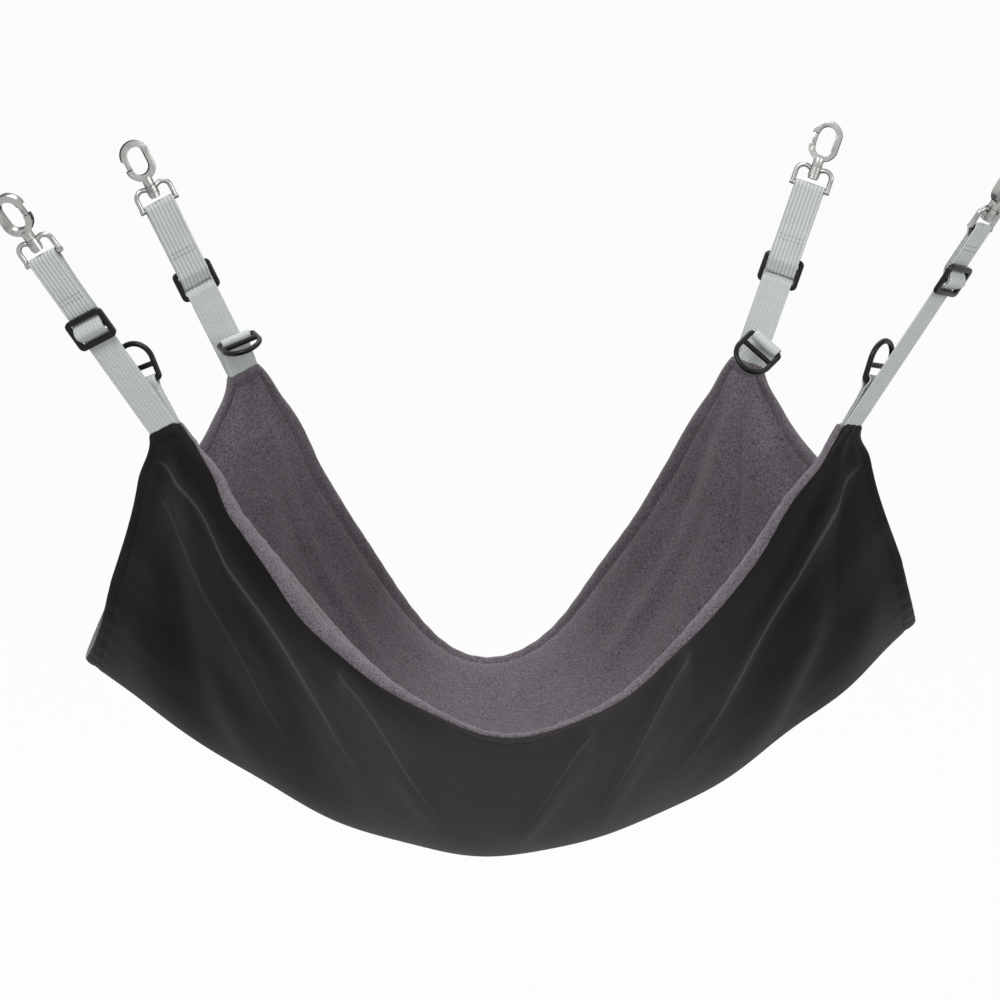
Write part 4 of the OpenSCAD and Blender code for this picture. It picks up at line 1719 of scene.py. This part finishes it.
    def build(self, finishes: Finishes) -> Piece:
        """Makes the corner's webbing.

        Args:
            finishes: The hammock's finishes.

        Returns:
            The root piece.
        """
        frame, corner = self.frame, self.frame.corner
        axes = (frame.hinge, frame.across, frame.inward, frame.up)
        stem = np.array([(0, -self.sewn), (0, self.root)])
        root = self.web.sweep(f"{corner.value}_strap_root", stem, *axes)
        top = frame.at(0, 0, self.root - self.root_free)
        corner.body("strap")
        frame.at(0, 0, -self.root_sunk)
        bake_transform(root)
        lower = self.web.sweep(f"{corner.value}_strap_web", self.lower_path(), *axes)
        low_end = frame.slider - self.buckle.height / 2
        corner.body("strap")
        corner.body("slider")
        frame.at(0, 0, self.root + self.bend_from)
        frame.at(0, 0, low_end - self.bend_gap)
        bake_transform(lower)
        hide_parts(corner.node("strap"))
        loop = self.web.sweep(f"{corner.value}_loop_web", self.loop_path(), *axes)
        eye_z = float((frame.eye - frame.hinge) @ frame.up)
        corner.body("slider")
        corner.body("loop")
        frame.at(0, 0, self.tail_top - self.bend_gap)
        frame.at(0, 0, eye_z - self.eye_r - self.eye_gap)
        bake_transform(loop)
        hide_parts(corner.node("strap_loop"))
        ring_axes = (frame.seam, frame.ring_across, frame.inward, frame.seam_up)
        ring_loop = self.web.sweep(f"{corner.value}_ring_loop", self.ring_loop_path(), *ring_axes)
        corner.body("d_loop")
        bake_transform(ring_loop)
        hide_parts(corner.node("d_loop"))
        dress(loop, finishes.webbing)
        for piece in (root, lower, ring_loop):
            dress(piece, finishes.webbing_back)
        self.tack_tail(finishes)
        return root

    def tack_tail(self, finishes: Finishes) -> None:
        """Sews the strap's tail down with two rows across the webbing.

        Args:
            finishes: The hammock's finishes.
        """
        frame, corner = self.frame, self.frame.corner
        back = 2.5 * self.web.thickness + 2 * self.ply_gap
        faces = (("outer", -self.web.thickness / 2, -1), ("inner", back, 1))
        span = np.linspace(-self.tack_span, self.tack_span, 24) * self.web.width
        for row, below in enumerate(self.tacks):
            for face, y, side in faces:
                line = np.array([frame.at(x, y, self.tail_top - below) for x in span])
                out = np.tile(frame.inward * side, (len(line), 1))
                stitches = self.tack.sew(f"{corner.value}_tail_tack_{row}_{face}", line, out)
                dress(stitches, finishes.pale_thread)
                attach(stitches, corner.body("slider"))


# Metalwork


@dataclass
class Metalwork:
    """Every metal piece, modelled once and copied to the four corners."""

    frames: dict[Corner, CornerFrame]
    nodes: dict[str, Piece]
    hook_edge: float = 0.00045
    gate_edge: float = 0.0003
    weld: float = 0.000002
    flat_angle: float = 0.5
    edge_angle: float = 35.0
    sharp: float = 32.0

    def rounded(self, node: Piece, name: str, width: float) -> Piece:
        """A copy of a solid with its sharp edges rounded.

        Args:
            node: The solid.
            name: The copy's name.
            width: Width of the rounding.

        Returns:
            The copy.
        """
        piece = copied(node, name)
        with editing(piece):
            bpy.ops.mesh.remove_doubles(threshold=self.weld)
            bpy.ops.mesh.dissolve_limited(angle_limit=math.radians(self.flat_angle))
        angle = math.radians(self.edge_angle)
        apply_modifier(
            piece, "BEVEL", width=width, segments=3, limit_method="ANGLE", angle_limit=angle,
            use_clamp_overlap=True, harden_normals=False,
        )
        soften(piece, self.sharp)
        return piece

    def build(self, finishes: Finishes) -> None:
        """Makes and places the metal pieces.

        Args:
            finishes: The hammock's finishes.
        """
        slider, ring = SliderBuckle().model(), DRing().model()
        slider_y = Strap(next(iter(self.frames.values()))).through_slider()["y"]
        for corner, frame in self.frames.items():
            buckle = copied(slider, f"{corner.value}_slider_buckle")
            placed(buckle, frame.at(0, slider_y, frame.slider), frame.across, frame.inward, frame.up)
            self.settle(buckle, corner, "slider", finishes.lacquer)
            cast = copied(ring, f"{corner.value}_d_ring_cast")
            face = unit(np.cross(frame.ring_up, frame.ring_across))
            placed(cast, frame.ring, frame.ring_across, face, frame.ring_up)
            self.settle(cast, corner, "d_ring", finishes.lacquer)
            for piece, edge in (("hook", self.hook_edge), ("gate", self.gate_edge)):
                cast = self.rounded(self.nodes[corner.node(piece)], f"{corner.value}_{piece}_cast", edge)
                self.settle(cast, corner, piece, finishes.nickel)
            for piece in ("eye", "gate_pin", "gate_spring"):
                node = self.nodes[corner.node(piece)]
                node.data.materials.clear()
                node.data.materials.append(finishes.nickel)
        for pattern in (slider, ring):
            bpy.data.objects.remove(pattern)

    def settle(
        self, piece: Piece, corner: Corner, node: str, material: bpy.types.Material
    ) -> None:
        """Dresses a metal piece and lets it stand for its solid.

        Args:
            piece: The object.
            corner: Its corner.
            node: The solid that it stands for, which also names its body.
            material: Its finish.
        """
        dress(piece, material)
        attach(piece, corner.body(node))
        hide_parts(corner.node(node))


# Studio


@dataclass
class Studio:
    """Pale floor, soft light and the camera.

    Each lamp has a name, a place, the width of its panel and its power in watts.
    """

    look: Triple = (0.0, 0.0, 0.200)
    distance: float = 2.7376
    elevation: float = 13.456
    azimuth: float = -2.021
    focal_px: float = 4335.6
    frame_px: float = 1000.0
    sensor_mm: float = 36.0
    shift: tuple[float, float] = (-0.00075, 0.02717)
    farthest: float = 40.0
    white: Triple = (1.0, 1.0, 1.0)
    floor_colour: Triple = (0.60, 0.60, 0.60)
    floor_glow: float = 0.95
    floor_z: float = -0.32
    floor_size: float = 60.0
    even_light: float = 0.46
    aim: Triple = (0.0, 0.0, 0.15)
    lamps: tuple[tuple[str, Triple, float, float], ...] = (
        ("key", (-1.1, -1.9, 2.3), 1.2, 44.0),
        ("fill", (1.9, -1.5, 1.0), 1.4, 17.0),
        ("top", (0.1, 0.9, 2.4), 1.8, 26.0),
    )

    def camera(self) -> None:
        """Adds the camera."""
        e, a = math.radians(self.elevation), math.radians(self.azimuth)
        back = Vector((math.sin(a) * math.cos(e), -math.cos(a) * math.cos(e), math.sin(e)))
        data = bpy.data.cameras.new("camera")
        data.sensor_width = self.sensor_mm
        data.sensor_fit = "HORIZONTAL"
        data.lens = self.focal_px / self.frame_px * self.sensor_mm
        data.shift_x, data.shift_y = self.shift
        data.clip_end = self.farthest
        camera = linked("camera", data)
        camera.location = Vector(self.look) + back * self.distance
        camera.rotation_euler = back.to_track_quat("Z", "Y").to_euler()
        bpy.context.scene.camera = camera

    def lamp(self, name: str, place: Triple, size: float, power: float) -> None:
        """Adds one soft lamp.

        Args:
            name: Its name.
            place: Where it stands.
            size: Width of its panel.
            power: Its power in watts.
        """
        data = bpy.data.lights.new(name, "AREA")
        data.shape = "DISK"
        data.size = size
        data.energy = power
        lamp = linked(name, data)
        lamp.location = place
        lamp.rotation_euler = (Vector(place) - Vector(self.aim)).to_track_quat("Z", "Y").to_euler()

    @staticmethod
    def seen(graph: Graph) -> Value:
        """1 for rays that show the backdrop itself, 0 for rays that carry light.

        Args:
            graph: The backdrop's graph.

        Returns:
            The share.
        """
        path = graph.add("ShaderNodeLightPath")
        shown = ("Is Camera Ray", "Is Glossy Ray", "Is Transmission Ray")
        return reduce(Value.most, [Value(graph, path.outputs[name]) for name in shown])

    def floor(self) -> None:
        """Adds the pale floor, which keeps a soft shadow."""
        deselect()
        bpy.ops.mesh.primitive_plane_add(size=self.floor_size, location=(0, 0, self.floor_z))
        floor = bpy.context.active_object
        floor.name = "floor"
        bpy.ops.object.transform_apply(location=True, rotation=False, scale=False)
        graph = Graph.material("pale_floor")
        inputs = {"Base Color": self.floor_colour, "Roughness": 0.9, "Specular IOR Level": 0.1}
        lit = graph.node("ShaderNodeBsdfPrincipled", {}, inputs)
        glow = graph.node("ShaderNodeEmission", {}, {"Color": self.white})
        share = self.seen(graph) * self.floor_glow
        graph.surface(graph.node("ShaderNodeMixShader", {}, {0: share, 1: lit, 2: glow}))
        floor.data.materials.append(graph.owner)

    def world(self) -> None:
        """Sets an even pale surround."""
        world = bpy.data.worlds.new("studio")
        bpy.context.scene.world = world
        graph = Graph(world, "ShaderNodeOutputWorld")
        even, shown = (
            graph.node("ShaderNodeBackground", {}, {"Color": self.white, "Strength": strength})
            for strength in (self.even_light, 1.0)
        )
        share = self.seen(graph)
        graph.surface(graph.node("ShaderNodeMixShader", {}, {0: share, 1: even, 2: shown}))

    def build(self) -> None:
        """Sets the studio up."""
        self.camera()
        self.floor()
        self.world()
        for lamp in self.lamps:
            self.lamp(*lamp)
        bpy.context.scene.view_settings.view_transform = "Standard"


def main() -> None:
    """Builds the hammock over its solids, piece by piece."""
    logging.basicConfig(level=logging.INFO, format="%(name)s %(message)s")
    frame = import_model()
    Studio().build()
    finishes = Finishes()
    corners = {corner: CornerFrame.read(corner, frame) for corner in Corner}
    Sling(corners).build(finishes)
    roots = [Strap(place).build(finishes) for place in corners.values()]
    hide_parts("corner_tabs")
    Metalwork(corners, frame["nodes"]).build(finishes)


if __name__ == "__main__":
    main()
